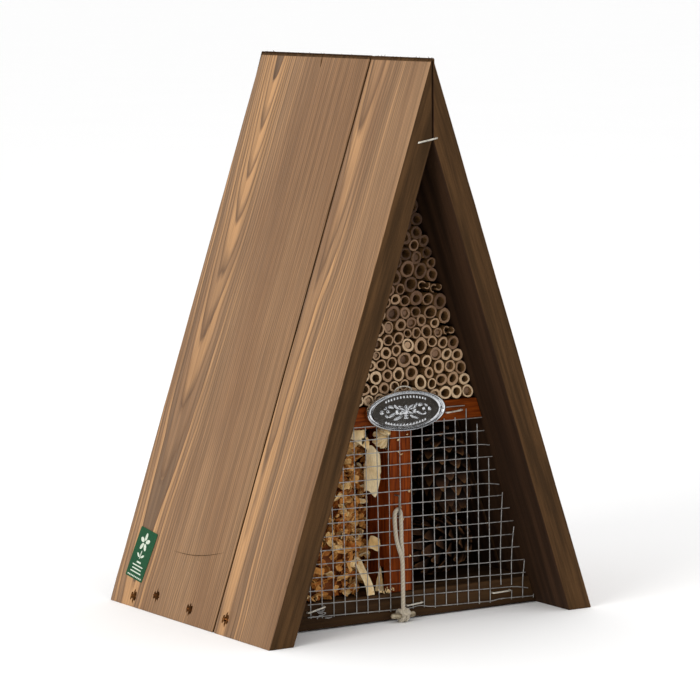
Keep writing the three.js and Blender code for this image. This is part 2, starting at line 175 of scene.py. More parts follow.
def tube(path, radius, sides=8, profile=None):
    """Points and faces of a closed rod. radius is one number or one per point; profile(distance, angle)
    multiplies it."""
    path = np.asarray(path, float)
    _, first, second = frames_along(path)
    angle = np.arange(sides) * TAU / sides
    radius = np.broadcast_to(radius, len(path))[:, None] * np.ones(sides)
    if profile is not None:
        steps = np.linalg.norm(np.diff(path, axis=0), axis=1)
        distance = np.concatenate([[0], np.cumsum(steps)])
        radius = radius * profile(distance[:, None], angle[None, :])
    ring = (first[:, None] * np.cos(angle)[None, :, None] + second[:, None] * np.sin(angle)[None, :, None])
    points = path[:, None] + ring * radius[:, :, None]
    return points.reshape(-1, 3), closed_grid(len(path), sides)


def rod(path, radius, sides):
    """The shape of a single rod."""
    shape = Shape()
    shape.add(*tube(path, radius, sides))
    return shape


def curve_through(points, per_span=6):
    """Points along a smooth curve through the given ones."""
    p = np.asarray(points, float)
    p = np.vstack([2 * p[0] - p[1], p, 2 * p[-1] - p[-2]])
    out = []
    for i in range(1, len(p) - 2):
        for t in np.arange(per_span) / per_span:
            out.append(0.5 * (2 * p[i] + (p[i + 1] - p[i - 1]) * t
                              + (2 * p[i - 1] - 5 * p[i] + 4 * p[i + 1] - p[i + 2]) * t ** 2
                              + (3 * p[i] - p[i - 1] - 3 * p[i + 1] + p[i + 2]) * t ** 3))
    out.append(p[-2])
    return np.array(out)


def rounded_ends(length, radius, steps=4):
    """Places along a rod of this length and its radius there, with both ends domed."""
    bend = [math.pi / 2 * k / steps for k in range(steps + 1)]
    places = [radius * (1 - math.cos(a)) for a in bend]
    widths = [max(radius * math.sin(a), 0.02) for a in bend]
    return places + [length - x for x in reversed(places)], widths + widths[::-1]


def show(obj, name, materials, nodes, body="hotel", sharp=40):
    """Finishes a piece: name, materials, smooth faces, and what it rides on and stands for."""
    obj.name = name
    chosen = [face.material_index for face in obj.data.polygons]
    obj.data.materials.clear()
    for material in materials:
        obj.data.materials.append(material)
    obj.data.polygons.foreach_set("material_index", chosen)
    obj.data.shade_smooth()
    obj.data.set_sharp_from_angle(angle=math.radians(sharp))
    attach(obj, body)
    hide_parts(*nodes)
    return obj


def object_from(shape, name):
    mesh = shape.mesh(name)
    bm = bmesh.new()
    bm.from_mesh(mesh)
    bmesh.ops.recalc_face_normals(bm, faces=bm.faces)
    bm.to_mesh(mesh)
    bm.free()
    return put_in_scene(name, mesh)


def piece(shape, name, material, nodes, body="hotel", sharp=40):
    return show(object_from(shape, name), name, [material], nodes, body, sharp)


def ride_along(shape, name, material, body="hotel", sharp=40):
    """A piece that stands for no CAD node."""
    return show(object_from(shape, name), name, [material], [], body, sharp)


# ---- finishes ------------------------------------------------------------------------------------
def rgb(red, green, blue):
    """A linear colour from display values of 0 to 255."""
    def linear(value):
        value /= 255
        return value / 12.92 if value <= 0.04045 else ((value + 0.055) / 1.055) ** 2.4
    return (linear(red), linear(green), linear(blue), 1)


class Finish:
    """A Principled material built up node by node. Places in it are object coordinates in mm."""

    def __init__(self, name, roughness, shine=0.2, **sockets):
        self.material = bpy.data.materials.new(name)
        self.material.use_nodes = True
        self.tree = self.material.node_tree
        self.shader = self.tree.nodes["Principled BSDF"]
        self.shader.inputs["Roughness"].default_value = roughness
        self.shader.inputs["Specular IOR Level"].default_value = shine
        for socket, value in sockets.items():
            self.shader.inputs[socket.replace("_", " ").title()].default_value = value
        texture = self.tree.nodes.new("ShaderNodeTexCoord")
        self.place = self.vector("MULTIPLY", texture.outputs["Object"], (1 / MM,) * 3)
        self.facing = texture.outputs["Normal"]

    def put(self, socket, value):
        if isinstance(value, bpy.types.NodeSocket):
            self.tree.links.new(value, socket)
        else:
            socket.default_value = value

    def math(self, operation, *values, clamp=False):
        node = self.tree.nodes.new("ShaderNodeMath")
        node.operation = operation
        node.use_clamp = clamp
        for socket, value in zip(node.inputs, values):
            self.put(socket, value)
        return node.outputs[0]

    def vector(self, operation, *values):
        node = self.tree.nodes.new("ShaderNodeVectorMath")
        node.operation = operation
        for socket, value in zip(node.inputs, values):
            self.put(socket, value)
        return node.outputs[0]

    def axes(self, vector=None):
        node = self.tree.nodes.new("ShaderNodeSeparateXYZ")
        self.put(node.inputs[0], self.place if vector is None else vector)
        return node.outputs

    def noise(self, stretch, detail=3.0, roughness=0.5, vector=None):
        """Noise between 0 and 1; stretch is its cells per millimetre along each axis."""
        node = self.tree.nodes.new("ShaderNodeTexNoise")
        place = self.vector("MULTIPLY", self.place if vector is None else vector, stretch)
        self.put(node.inputs["Vector"], place)
        node.inputs["Scale"].default_value = 1
        node.inputs["Detail"].default_value = detail
        node.inputs["Roughness"].default_value = roughness
        return node.outputs["Fac"]

    def random(self, value):
        """A number from 0 to 1 for each whole value."""
        node = self.tree.nodes.new("ShaderNodeTexWhiteNoise")
        node.noise_dimensions = "1D"
        self.put(node.inputs["W"], value)
        return node.outputs["Value"]

    def tone(self):
        node = self.tree.nodes.new("ShaderNodeAttribute")
        node.attribute_name = "tone"
        return node.outputs["Fac"]

    def span(self, value, low, high, start=0.0, end=1.0):
        """start below low, end above high, and a smooth step between."""
        node = self.tree.nodes.new("ShaderNodeMapRange")
        node.interpolation_type = "SMOOTHSTEP"
        for socket, number in zip(node.inputs, (value, low, high, start, end)):
            self.put(socket, number)
        return node.outputs[0]

    def ramp(self, value, *stops):
        node = self.tree.nodes.new("ShaderNodeValToRGB")
        self.put(node.inputs[0], value)
        elements = node.color_ramp.elements
        while len(elements) < len(stops):
            elements.new(0.5)
        for element, (position, colour) in zip(elements, stops):
            element.position = position
            element.color = colour if isinstance(colour, tuple) else (colour, colour, colour, 1)
        return node.outputs["Color"]

    def mix(self, factor, first, second, blend="MIX"):
        node = self.tree.nodes.new("ShaderNodeMix")
        node.data_type = "RGBA"
        node.blend_type = blend
        self.put(node.inputs[0], factor)
        self.put(node.inputs[6], first)
        self.put(node.inputs[7], second)
        return node.outputs[2]

    def darken(self, colour, amount, value, *stops):
        """Multiplies a colour by a grey ramp over value, by this much."""
        return self.mix(amount, colour, self.ramp(value, *stops), "MULTIPLY")

    def bump(self, height, depth):
        """Raises the surface by height times depth, in millimetres."""
        node = self.tree.nodes.new("ShaderNodeBump")
        node.inputs["Distance"].default_value = depth * MM
        self.put(node.inputs["Height"], height)
        self.put(self.shader.inputs["Normal"], node.outputs[0])

    def done(self, colour, roughness=None):
        self.put(self.shader.inputs["Base Color"], colour)
        if roughness is not None:
            self.put(self.shader.inputs["Roughness"], roughness)
        return self.material


def rings(finish, pith, depth, fall, growth, wander=7.0):
    """Growth rings of a sawn board, as (place in the ring from 0 to 1, the ring's number).
    X is the board's depth, Y runs across it and Z along it. pith is where the tree's middle is in Y,
    depth how far it lies behind the face, fall how that lessens along Z, and growth how the number of
    rings rises with the distance and its square."""
    x, y, z = finish.axes()
    sway = finish.noise((0.012, 0.012, 0.007), detail=2)
    across = finish.math("SUBTRACT", y, pith)
    across = finish.math("MULTIPLY_ADD", finish.math("SUBTRACT", sway, 0.5), wander * 2, across)
    climb = finish.math("MULTIPLY_ADD", z, fall[1], fall[0])
    deep = finish.math("SUBTRACT", finish.math("ADD", x, depth), finish.math("MULTIPLY", z, climb))
    squares = finish.math("ADD", finish.math("POWER", deep, 2), finish.math("POWER", across, 2))
    distance = finish.math("SQRT", squares)
    count = finish.math("MULTIPLY", distance, finish.math("MULTIPLY_ADD", distance, growth[1], growth[0]))
    wobble = finish.noise((0.09, 0.09, 0.012), detail=3)
    count = finish.math("MULTIPLY_ADD", wobble, 1.1, count)
    return finish.math("FRACT", count), finish.math("FLOOR", count)


def oiled_pine(name, pith, depth, fall, growth, wander=7.0):
    """Brown oiled pine with some pale orange early wood and thin dark late wood."""
    finish = Finish(name, 0.6)
    place, number = rings(finish, pith, depth, fall, growth, wander)
    late = finish.ramp(place, (0, 0.5), (0.1, 0.0), (0.55, 0.06), (0.84, 0.6), (0.95, 1.0), (1, 0.6))
    patches = finish.noise((0.03, 0.03, 0.006), detail=3)
    luck = finish.random(number)
    across = finish.math("ABSOLUTE", finish.math("SUBTRACT", finish.axes()[1], pith))
    near = finish.span(across, 3, 24, 0.3, 0.0)
    score = finish.math("ADD", finish.math("MULTIPLY_ADD", luck, 0.8, near), patches)
    pale = finish.math("MULTIPLY", finish.span(score, 1.1, 1.4), finish.math("SUBTRACT", 1, late))
    pale = finish.math("MULTIPLY", pale, finish.span(across, 5, 24, 0.95, 0.3))
    base = finish.mix(finish.span(patches, 0.35, 0.65), rgb(134, 100, 70), rgb(149, 115, 83))
    greyed = finish.math("MULTIPLY", finish.span(luck, 0.15, 0.45, 1.0, 0.0),
                         finish.span(across, 2, 20, 0.8, 0.1))
    base = finish.mix(greyed, base, rgb(104, 80, 59))
    colour = finish.mix(pale, base, rgb(182, 138, 94))
    strength = finish.span(across, 8, 50, 0.65, 0.5)
    colour = finish.mix(finish.math("MULTIPLY", late, strength), colour, rgb(84, 58, 37))
    fibre = finish.noise((3.4, 3.4, 0.05), detail=4, roughness=0.6)
    grime = finish.noise((0.5, 0.5, 0.03), detail=4, roughness=0.6)
    colour = finish.darken(colour, 0.6, fibre, (0.3, 0.62), (0.7, 1.0))
    colour = finish.darken(colour, 0.5, grime, (0.32, 0.7), (0.66, 1.0))
    lines = finish.noise((0.9, 0.9, 0.006), detail=2, roughness=0.4)
    colour = finish.darken(colour, 0.6, lines, (0.38, 0.55), (0.6, 1.0))
    colour = finish.mix(1.0, colour, (1.21, 1.21, 1.2, 1), "MULTIPLY")
    fleck = finish.noise((1.1, 1.1, 0.18), detail=2)
    colour = finish.mix(finish.span(fleck, 0.73, 0.8, 0, 0.5), colour, rgb(78, 54, 36))
    height = finish.math("MULTIPLY_ADD", late, 0.6, finish.math("MULTIPLY", fibre, 0.5))
    finish.bump(height, 0.16)
    return finish.done(colour, finish.span(fibre, 0.3, 0.7, 0.5, 0.68))


def rough_wood(name, dark, light, stretch=(1.6, 1.6, 0.06), depth=0.22, roughness=0.78, rays=0.5):
    """Sawn and stained wood whose grain runs along the axis with the smallest stretch."""
    finish = Finish(name, roughness, 0.1)
    grain = finish.noise(stretch, detail=5, roughness=0.65)
    broad = finish.noise(tuple(s * 0.16 for s in stretch), detail=3)
    fuzz = finish.noise((2.4, 2.4, 2.4), detail=3, roughness=0.7)
    colour = finish.mix(finish.span(broad, 0.3, 0.7), dark, light)
    colour = finish.darken(colour, rays, grain, (0.3, 0.45), (0.62, 1.0))
    colour = finish.darken(colour, 0.35, fuzz, (0.3, 0.55), (0.6, 1.0))
    finish.bump(finish.math("MULTIPLY_ADD", grain, 0.8, finish.math("MULTIPLY", fuzz, 0.4)), depth)
    return finish.done(colour)


def stained_board(name, dark, light, axis):
    """Orange-brown stained pine with its grain along one axis."""
    stretch = tuple(0.05 if k == axis else 0.8 for k in range(3))
    fine = tuple(0.12 if k == axis else 3.5 for k in range(3))
    finish = Finish(name, 0.55, 0.06)
    bands = finish.noise(stretch, detail=4, roughness=0.55)
    fibre = finish.noise(fine, detail=3, roughness=0.6)
    colour = finish.mix(finish.span(bands, 0.34, 0.64), dark, light)
    colour = finish.darken(colour, 0.45, fibre, (0.3, 0.5), (0.62, 1.0))
    finish.bump(finish.math("MULTIPLY_ADD", bands, 0.5, fibre), 0.15)
    return finish.done(colour)


def cane():
    """Cut reed: a glossy straw skin, a pale cut end and a soft bore. Low tones paint shade down the bore and
    on the upper reeds.
    """
    finish = Finish("reed_cane", 0.5)
    tone = finish.tone()
    streak = finish.noise((1.6, 0.07, 1.6), detail=3)
    speck = finish.noise((3.0, 3.0, 3.0), detail=3, roughness=0.65)
    skin = finish.mix(streak, rgb(84, 58, 32), rgb(132, 98, 60))
    # The lowest tones, down the bore, turn the skin dark brown: painted shade.
    skin = finish.mix(finish.span(tone, 0.02, 0.06, 1.0, 0.0), skin, rgb(62, 38, 22))
    # Low tones darken the cut ends towards brown: painted shade on the upper reeds.
    face = finish.ramp(tone, (0.05, rgb(70, 50, 39)), (0.4, rgb(132, 101, 78)), (0.75, rgb(186, 152, 119)),
                       (1.0, rgb(216, 186, 150)))
    cut = finish.span(finish.axes(finish.facing)[1], -0.75, -0.3, 1.0, 0.0)
    colour = finish.mix(cut, skin, face)
    colour = finish.darken(colour, 0.5, speck, (0.28, 0.5), (0.58, 1.0))
    finish.bump(finish.math("ADD", speck, streak), 0.12)
    return finish.done(colour)


def shaving_wood():
    """Thin curls of pine, from cream to deep orange by tone; the deep orange of the lowest tones, given to
    the back of the heap, paints its shade.
    """
    finish = Finish("shavings", 0.62)
    tone = finish.tone()
    grain = finish.noise((1.4, 1.4, 0.5), detail=4, roughness=0.6)
    colour = finish.ramp(tone, (0.0, rgb(108, 52, 16)), (0.25, rgb(170, 96, 34)),
                         (0.55, rgb(202, 138, 66)), (0.85, rgb(224, 184, 120)), (1.0, rgb(238, 216, 172)))
    colour = finish.darken(colour, 0.5, grain, (0.3, 0.55), (0.62, 1.0))
    finish.bump(grain, 0.15)
    return finish.done(colour)


def cone_wood():
    """Pine cone scales: near black towards the cone's axis as painted shade between the scales, paler and
    rougher at their tips.
    """
    finish = Finish("cone_scales", 0.75, 0.1)
    tone = finish.tone()
    mottle = finish.noise((0.9, 0.9, 0.9), detail=4, roughness=0.65)
    colour = finish.ramp(tone, (0.0, rgb(11, 6, 4)), (0.6, rgb(26, 15, 8)), (0.86, rgb(64, 41, 25)),
                         (1.0, rgb(106, 75, 46)))
    colour = finish.darken(colour, 0.6, mottle, (0.3, 0.45), (0.65, 1.0))
    finish.bump(mottle, 0.3)
    return finish.done(colour)


def bare_metal(name, dark, light, roughness, spread, grain=0.5, depth=0.03, metallic=1.0):
    """Metal with a mottled tint and uneven polish."""
    finish = Finish(name, roughness, 0.5, metallic=metallic)
    mottle = finish.noise((grain, grain, grain), detail=4, roughness=0.6)
    fine = finish.noise((grain * 6,) * 3, detail=2)
    colour = finish.mix(finish.span(mottle, 0.3, 0.7), dark, light)
    finish.bump(fine, depth)
    return finish.done(colour, finish.span(mottle, 0.3, 0.7, roughness - spread, roughness + spread))


def rusty_steel():
    finish = Finish("rusty_steel", 0.8, metallic=0.15)
    bloom = finish.noise((1.3, 1.3, 1.3), detail=5, roughness=0.7)
    colour = finish.ramp(bloom, (0.3, rgb(66, 34, 14)), (0.5, rgb(140, 78, 30)), (0.7, rgb(186, 126, 62)))
    finish.bump(bloom, 0.15)
    return finish.done(colour)


def printed_paper(name, colour, worn):
    finish = Finish(name, 0.5, 0.12)
    fibre = finish.noise((1.5, 1.5, 1.5), detail=4, roughness=0.6)
    finish.bump(fibre, 0.03)
    return finish.done(finish.mix(finish.span(fibre, 0.35, 0.75), colour, worn))


def cotton():
    """Off-white cotton, painted grey in the grooves between its strands as shade."""
    finish = Finish("cotton_cord", 0.9, sheen_weight=0.3)
    tone = finish.tone()
    lint = finish.noise((2.2, 2.2, 2.2), detail=4, roughness=0.7)
    colour = finish.mix(tone, rgb(146, 135, 117), rgb(186, 175, 155))
    colour = finish.darken(colour, 0.4, lint, (0.3, 0.6), (0.6, 1.0))
    finish.bump(lint, 0.12)
    return finish.done(colour)


def peeled_stick():
    finish = Finish("toggle_wood", 0.7)
    grain = finish.noise((0.12, 2.2, 2.2), detail=4, roughness=0.6)
    stain = finish.noise((0.25, 0.5, 0.5), detail=3)
    colour = finish.mix(finish.span(stain, 0.35, 0.65), rgb(126, 112, 90), rgb(188, 176, 150))
    colour = finish.darken(colour, 0.5, grain, (0.3, 0.5), (0.6, 1.0))
    finish.bump(grain, 0.15)
    return finish.done(colour)


GALVANISED = bare_metal("galvanised_wire", rgb(138, 136, 134), rgb(182, 180, 177), 0.42, 0.1, metallic=0.5)
STEEL = bare_metal("bright_steel", rgb(196, 190, 178), rgb(234, 228, 214), 0.34, 0.08, metallic=0.5)
CHROME = bare_metal("chrome_plate", rgb(196, 198, 202), rgb(224, 226, 228), 0.1, 0.04, depth=0.015)
# Darker steel for the staple on the divider: its darkness paints the shade that staple sits in.
SHADED_STEEL = bare_metal("steel_painted_shade", rgb(84, 80, 74), rgb(124, 120, 112), 0.45, 0.1, metallic=0.5)
RUST = rusty_steel()
# Sawn ends, ridge, fibres and the scratch: darker than the faces as end grain takes more stain, and darker
# still as painted shade on the ends turned from the light.
DARK_GRAIN_AND_SHADE = rough_wood("sawn_pine_dark_and_painted_shade", rgb(61, 42, 22), rgb(87, 61, 35), (2.6, 2.6, 0.12), rays=0.4)
TORN = rough_wood("torn_pine", rgb(72, 42, 18), rgb(126, 82, 40), (1.8, 1.8, 0.3), rays=0.5)
# The roof's inner faces: a much darker brown that paints the shade under the roof.
SHADED_INSIDE = rough_wood("inner_pine_painted_shade", rgb(40, 25, 14), rgb(60, 40, 25), (1.4, 1.4, 0.05), rays=0.4)

# ---- cord, knot and toggle -----------------------------------------------------------------------
CORD = 1.9
TWIST = 5.2                                   # length of one turn of the cord's strands
GROOVE = 0.91                                 # share of the cord's radius in the grooves between them
STICK_RADIUS = (STICK_HIGH.z - STICK_LOW.z) / 2
TOGGLE_Y = (STICK_LOW.y + STICK_HIGH.y) / 2
TOGGLE_Z = (STICK_LOW.z + STICK_HIGH.z) / 2
KNOT_X = (KNOT_LOW.x + KNOT_HIGH.x) / 2
LOOP_Y = LOOP_STAPLE_LOW.y + 0.6 + 0.3 + CORD / 2
# The cord's middle line, from the knot up the left strand, over the staple's leg and down again.
CORD_ROUTE = [
    (-4.55, TOGGLE_Y - 1.15, 6.9), (-4.53, TOGGLE_Y - 1.15, 12), (-4.45, TOGGLE_Y - 0.95, 18),
    (-4.1, TOGGLE_Y - 0.25, 25), (-3.87, LOOP_Y - 2.3, 29.3), (-4.6, LOOP_Y - 1.2, 33.7),
    (-5.5, LOOP_Y - 0.4, 38), (-5.95, LOOP_Y - 0.1, 42.5), (-6.25, LOOP_Y, 47), (-6.2, LOOP_Y, 50.2),
    (-5.6, LOOP_Y, 51.7), (-4.6, LOOP_Y, 52.3), (-3.6, LOOP_Y, 51.7), (-3, LOOP_Y, 50.2),
    (-2.85, LOOP_Y, 47), (-2.7, LOOP_Y, 42.5), (-2.75, LOOP_Y - 0.1, 38), (-2.55, LOOP_Y - 0.3, 33.7),
    (-2.6, LOOP_Y - 0.6, 29.3), (-3, LOOP_Y - 1.4, 25), (-3.36, TOGGLE_Y + 0.75, 18),
    (-3.41, TOGGLE_Y + 0.6, 12), (-3.4, TOGGLE_Y + 0.6, 6.9),
]
# The hitch: (place along the stick from the knot's middle, turn round it from the front downwards in
# degrees, distance from the stick's middle). Its halves mirror each other, apart from the cord's ends.
HITCH_TURN = [(1.0, 25, 2.35), (1.2, 90, 2.3), (1.5, 150, 2.3), (1.75, 215, 2.3), (1.85, 270, 2.35),
              (1.7, 318, 2.6), (1.0, 338, 3.4)]
HITCH = ([(-0.7, -72, 3.6), (-0.9, -30, 2.7)] + [(-x, turn, far) for x, turn, far in HITCH_TURN]
         + [(0, 342, 3.9)] + HITCH_TURN[::-1] + [(0.9, -30, 2.6), (0.75, -62, 2.7), (0.45, -98, 3.3)])


def strands(distance, angle):
    """The cross-section of a cord laid up from three strands."""
    return GROOVE + (1 - GROOVE) * np.abs(np.cos(1.5 * (angle - distance * TAU / TWIST)))


def cord_shape(path):
    shape = Shape()
    sides = 21
    points, faces = tube(path, CORD / 2 * 1.03, sides, strands)
    steps = np.linalg.norm(np.diff(path, axis=0), axis=1)
    distance = np.concatenate([[0], np.cumsum(steps)])
    depth = strands(distance[:, None], (np.arange(sides) * TAU / sides)[None, :])
    # Tone is lowest in the grooves between the strands: painted shade.
    shape.add(points, faces, ((depth - GROOVE) / (1 - GROOVE)).reshape(-1) ** 0.5)
    return shape


def hitch_path():
    path = []
    for x, turn, radius in HITCH:
        a = math.radians(turn)
        path.append((KNOT_X + x, TOGGLE_Y - radius * math.cos(a), TOGGLE_Z - radius * math.sin(a)))
    return curve_through(path, 7)


def make_cord():
    material = cotton()
    places, widths = rounded_ends(STICK_HIGH.x - STICK_LOW.x, STICK_RADIUS)
    rng = random.Random(4)
    wide = [w * (1 + rng.uniform(-0.04, 0.02)) for w in widths]
    path = [(STICK_LOW.x + x, TOGGLE_Y, TOGGLE_Z) for x in places]
    toggle = piece(rod(path, wide, 20), "toggle_peeled_stick", peeled_stick(),
                   ["toggle_stick"], "hanging_cord")
    knot = piece(cord_shape(hitch_path()), "cord_hitch", material, ["cord_knot"],
                 "hanging_cord")
    path = curve_through(CORD_ROUTE, 12)
    cord = piece(cord_shape(path), "cord_hanging_loop", material, ["cord_loop"],
                 "hanging_cord")


make_camera()
make_cord()

# ---- boards --------------------------------------------------------------------------------------
def prism(outline, y0, y1, soften, cut_every, warp, seed, local=None):
    """A board with this outline in X and Z, with rounded edges and slightly uneven faces."""
    bm = bmesh.new()
    rings_of = [[bm.verts.new((x * MM, y * MM, z * MM)) for x, z in outline] for y in (y0, y1)]
    bm.faces.new(rings_of[0])
    bm.faces.new(rings_of[1][::-1])
    count = len(outline)
    for k in range(count):
        a, b = k, (k + 1) % count
        bm.faces.new((rings_of[0][b], rings_of[0][a], rings_of[1][a], rings_of[1][b]))
    bmesh.ops.recalc_face_normals(bm, faces=bm.faces)
    bmesh.ops.bevel(bm, geom=bm.edges[:], offset=soften * MM, segments=3, profile=0.5, affect="EDGES")
    if local is not None:
        bm.transform(local.inverted())
    low = min(v.co.z for v in bm.verts)
    high = max(v.co.z for v in bm.verts)
    for k in range(1, int((high - low) / (cut_every * MM))):
        where = Vector((0, 0, low + k * cut_every * MM))
        bmesh.ops.bisect_plane(bm, geom=bm.verts[:] + bm.edges[:] + bm.faces[:], plane_co=where,
                               plane_no=(0, 0, 1))
    for vertex in bm.verts:
        place = vertex.co / MM * 0.06 + Vector((seed, seed * 0.7, 0))
        vertex.co += noise.noise_vector(place) * warp * MM
    mesh = bpy.data.meshes.new("board")
    bm.to_mesh(mesh)
    bm.free()
    obj = put_in_scene("board", mesh)
    if local is not None:
        obj.matrix_world = local
    return obj


def carve(obj, cutters):
    """Cuts a shape out of the object; the cut faces take its second material."""
    tool = object_from(cutters, "cutter")
    tool.data.materials.append(None)
    tool.data.materials.append(None)
    tool.data.polygons.foreach_set("material_index", [1] * len(tool.data.polygons))
    modifier = obj.modifiers.new("carve", "BOOLEAN")
    modifier.operation = "DIFFERENCE"
    modifier.solver = "EXACT"
    modifier.use_self = True
    modifier.object = tool
    bpy.context.view_layer.update()
    graph = bpy.context.evaluated_depsgraph_get()
    mesh = bpy.data.meshes.new_from_object(obj.evaluated_get(graph))
    obj.modifiers.clear()
    obj.data = mesh
    bpy.data.objects.remove(tool)


def slope_frame(side):
    """The frame of a roof slope: X out of its face, Z up the slope, with its origin at the foot."""
    up = Vector((-side * math.sin(SLOPE_ANGLE), 0, math.cos(SLOPE_ANGLE)))
    out = Vector((side * math.cos(SLOPE_ANGLE), 0, math.sin(SLOPE_ANGLE)))
    across = up.cross(out)
    matrix = Matrix((out, across, up)).transposed().to_4x4()
    matrix.translation = Vector((side * HALF_WIDTH, 0, 0)) * MM
    return matrix


# Marks on the left slope, with places as (depth, distance up the slope).
SCRATCH_ENDS = ((28, 31), (-15, 36.5))
SCRATCH_SAG = 1.8
CRACK_ENDS = ((17, 268), (18, 274))
FOOT_STAPLES = range(1, 5)                    # numbers of the staples at each slope's foot
FOOT_STAPLE_WIRE = 0.45
TEAR_DEPTH = 0.9
RIDGE_EASED = 1.3                             # the ridge is eased over this height
SLIVERS = 24                                  # split fibres round one staple
RIDGE_FIBRES = 210
NAILS_PROUD = 0.35                            # the back panel's face lies this far under the nail heads
# The hollows torn round a foot staple: place across and width, both as (share of the staple's half
# length, length to add), and length up the slope.
TEARS = [((-0.7, 0), (0, 1.2), 5.4), ((0, 0), (1.25, 0), 2.8), ((0.65, 0), (0, 1.1), 4.4),
         ((0, -0.4), (0, 0.8), 8.0)]
TEAR_CORNERS = 9


def staple_place(side, index):
    """Middle of a foot staple's crown and the half length of the crown."""
    word = "left" if side < 0 else "right"
    low, high = box(f"foot_staple_{word}_{index}")
    x = low.x if side < 0 else high.x
    return Vector((x, (low.y + high.y) / 2, (low.z + high.z) / 2)), (high.y - low.y) / 2


def tears(side, y0, y1):
    """Ragged hollows torn round the sunken staples of one plank, as a shape to cut away."""
    rng = random.Random(20 + side)
    shape = Shape()
    out = slope_frame(side).to_3x3() @ Vector((1, 0, 0))
    up = slope_frame(side).to_3x3() @ Vector((0, 0, 1))
    for index in FOOT_STAPLES:
        place, half = staple_place(side, index)
        if not y0 < place.y < y1:
            continue
        for across, wide, long in TEARS:
            across, wide = (part * half + more for part, more in (across, wide))
            rim = []
            for k in range(TEAR_CORNERS):
                a = TAU * k / TEAR_CORNERS
                reach = rng.uniform(0.75, 1.2)
                rim.append((across + wide * reach * math.cos(a), long / 2 * reach * math.sin(a)))
            rows = [[place + Vector((0, y, 0)) * scale + up * z * scale + out * depth for y, z in rim]
                    for depth, scale in ((2.0, 1.1), (-TEAR_DEPTH, 0.7))]
            shape.add([tuple(p) for row in rows for p in row], closed_grid(2, TEAR_CORNERS))
    return shape


def torn_places(side, local):
    """Places of one slope's foot staples in the slope's own frame."""
    return [local.inverted() @ (staple_place(side, index)[0] * MM) / MM for index in FOOT_STAPLES]


def is_torn(place, torn):
    """Whether a place just under the slope's face is beside a foot staple."""
    return -2.5 < place.x < -0.12 and any(abs(place.y - t.y) < 4.2 and abs(place.z - t.z) < 4.6 for t in torn)


def slivers(side):
    """Split fibres that stand round the foot staples of one slope."""
    rng = random.Random(50 + side)
    shape = Shape()
    out = np.array(slope_frame(side).to_3x3() @ Vector((1, 0, 0)))
    up = np.array(slope_frame(side).to_3x3() @ Vector((0, 0, 1)))
    for index in FOOT_STAPLES:
        place, half = staple_place(side, index)
        for _ in range(SLIVERS):
            foot = np.array(place) + np.array([0, rng.uniform(-1.2, 1.2) * half, 0])
            foot += up * rng.uniform(-2.4, 2.6) + out * 0.2
            lean = up * rng.choice((-1, 1)) * rng.uniform(0.8, 2.2) + out * rng.uniform(0.1, 0.7)
            lean += np.array([0, rng.uniform(-0.4, 0.4), 0])
            path = [foot, foot + lean * 0.5, foot + lean]
            shape.add(*tube(path, [rng.uniform(0.12, 0.26), 0.15, 0.03], 5))
    return shape


def make_roof():
    pines = {
        (-1, "front"): oiled_pine("oiled_pine_left_front", 29, 17, (0.006, 0.00004), (0.5, 0.005), 12),
        (-1, "back"): oiled_pine("oiled_pine_left_back", -55.5, 20, (0.026, 0.00009), (0.62, 0.0006)),
        (1, "front"): oiled_pine("oiled_pine_right_front", -64, 22, (0.03, 0.00008), (0.5, 0.002)),
        (1, "back"): oiled_pine("oiled_pine_right_back", 30, 24, (0.03, 0.0001), (0.55, 0.0012)),
    }
    for (side, part), pine in pines.items():
        word = "left" if side < 0 else "right"
        node = f"roof_plank_{word}_{part}"
        low, high = box(node)
        apex = (HALF_WIDTH - ACROSS) / LEAN
        ridge_x = side * 0.25
        eased = RIDGE - RIDGE_EASED
        outline = [(side * HALF_WIDTH, 0), (side * outside(eased), eased), (ridge_x * 1.6, RIDGE - 0.1),
                   (ridge_x, RIDGE - 0.2), (ridge_x, apex), (side * inside(0), 0)]
        local = slope_frame(side)
        plank = prism(outline, low.y + 0.1, high.y - 0.1, 0.7, 12, 0.15, side * 3 + low.y * 0.1, local)
        carve(plank, tears(side, low.y, high.y))
        torn = torn_places(side, local)
        # Faces turned in under the roof take the painted-shade inner finish; ends and the eased ridge take
        # the dark grain finish, which is partly painted shade.
        for face in plank.data.polygons:
            if is_torn(face.center / MM, torn):
                face.material_index = 3
            elif face.normal.x < -0.55:
                face.material_index = 2
            elif face.normal.x < 0.55 or face.center.z > (RIDGE - RIDGE_EASED) / math.cos(SLOPE_ANGLE) * MM:
                face.material_index = 1
        show(plank, f"{node}_grained", [pine, DARK_GRAIN_AND_SHADE, SHADED_INSIDE, TORN], [node])
    for side, word in ((-1, "left"), (1, "right")):
        ride_along(slivers(side), f"torn_fibres_{word}", TORN)


def make_scratches():
    """A faint scratch near the foot of the left slope and a short crack at its top."""
    shape = Shape()
    for (start, end), sag, radius in ((SCRATCH_ENDS, SCRATCH_SAG, 0.16), (CRACK_ENDS, 0, 0.32)):
        share = np.linspace(0, 1, 16)
        depth = start[0] + (end[0] - start[0]) * share
        along = start[1] + (end[1] - start[1]) * share - sag * np.sin(math.pi * share)
        path = [on_slope(-1, 0.02, y, s) for y, s in zip(depth, along)]
        shape.add(*tube(path, radius * np.sin(np.linspace(0.15, math.pi - 0.15, 16)), 6))
    ride_along(shape, "scratch_and_crack", DARK_GRAIN_AND_SHADE)


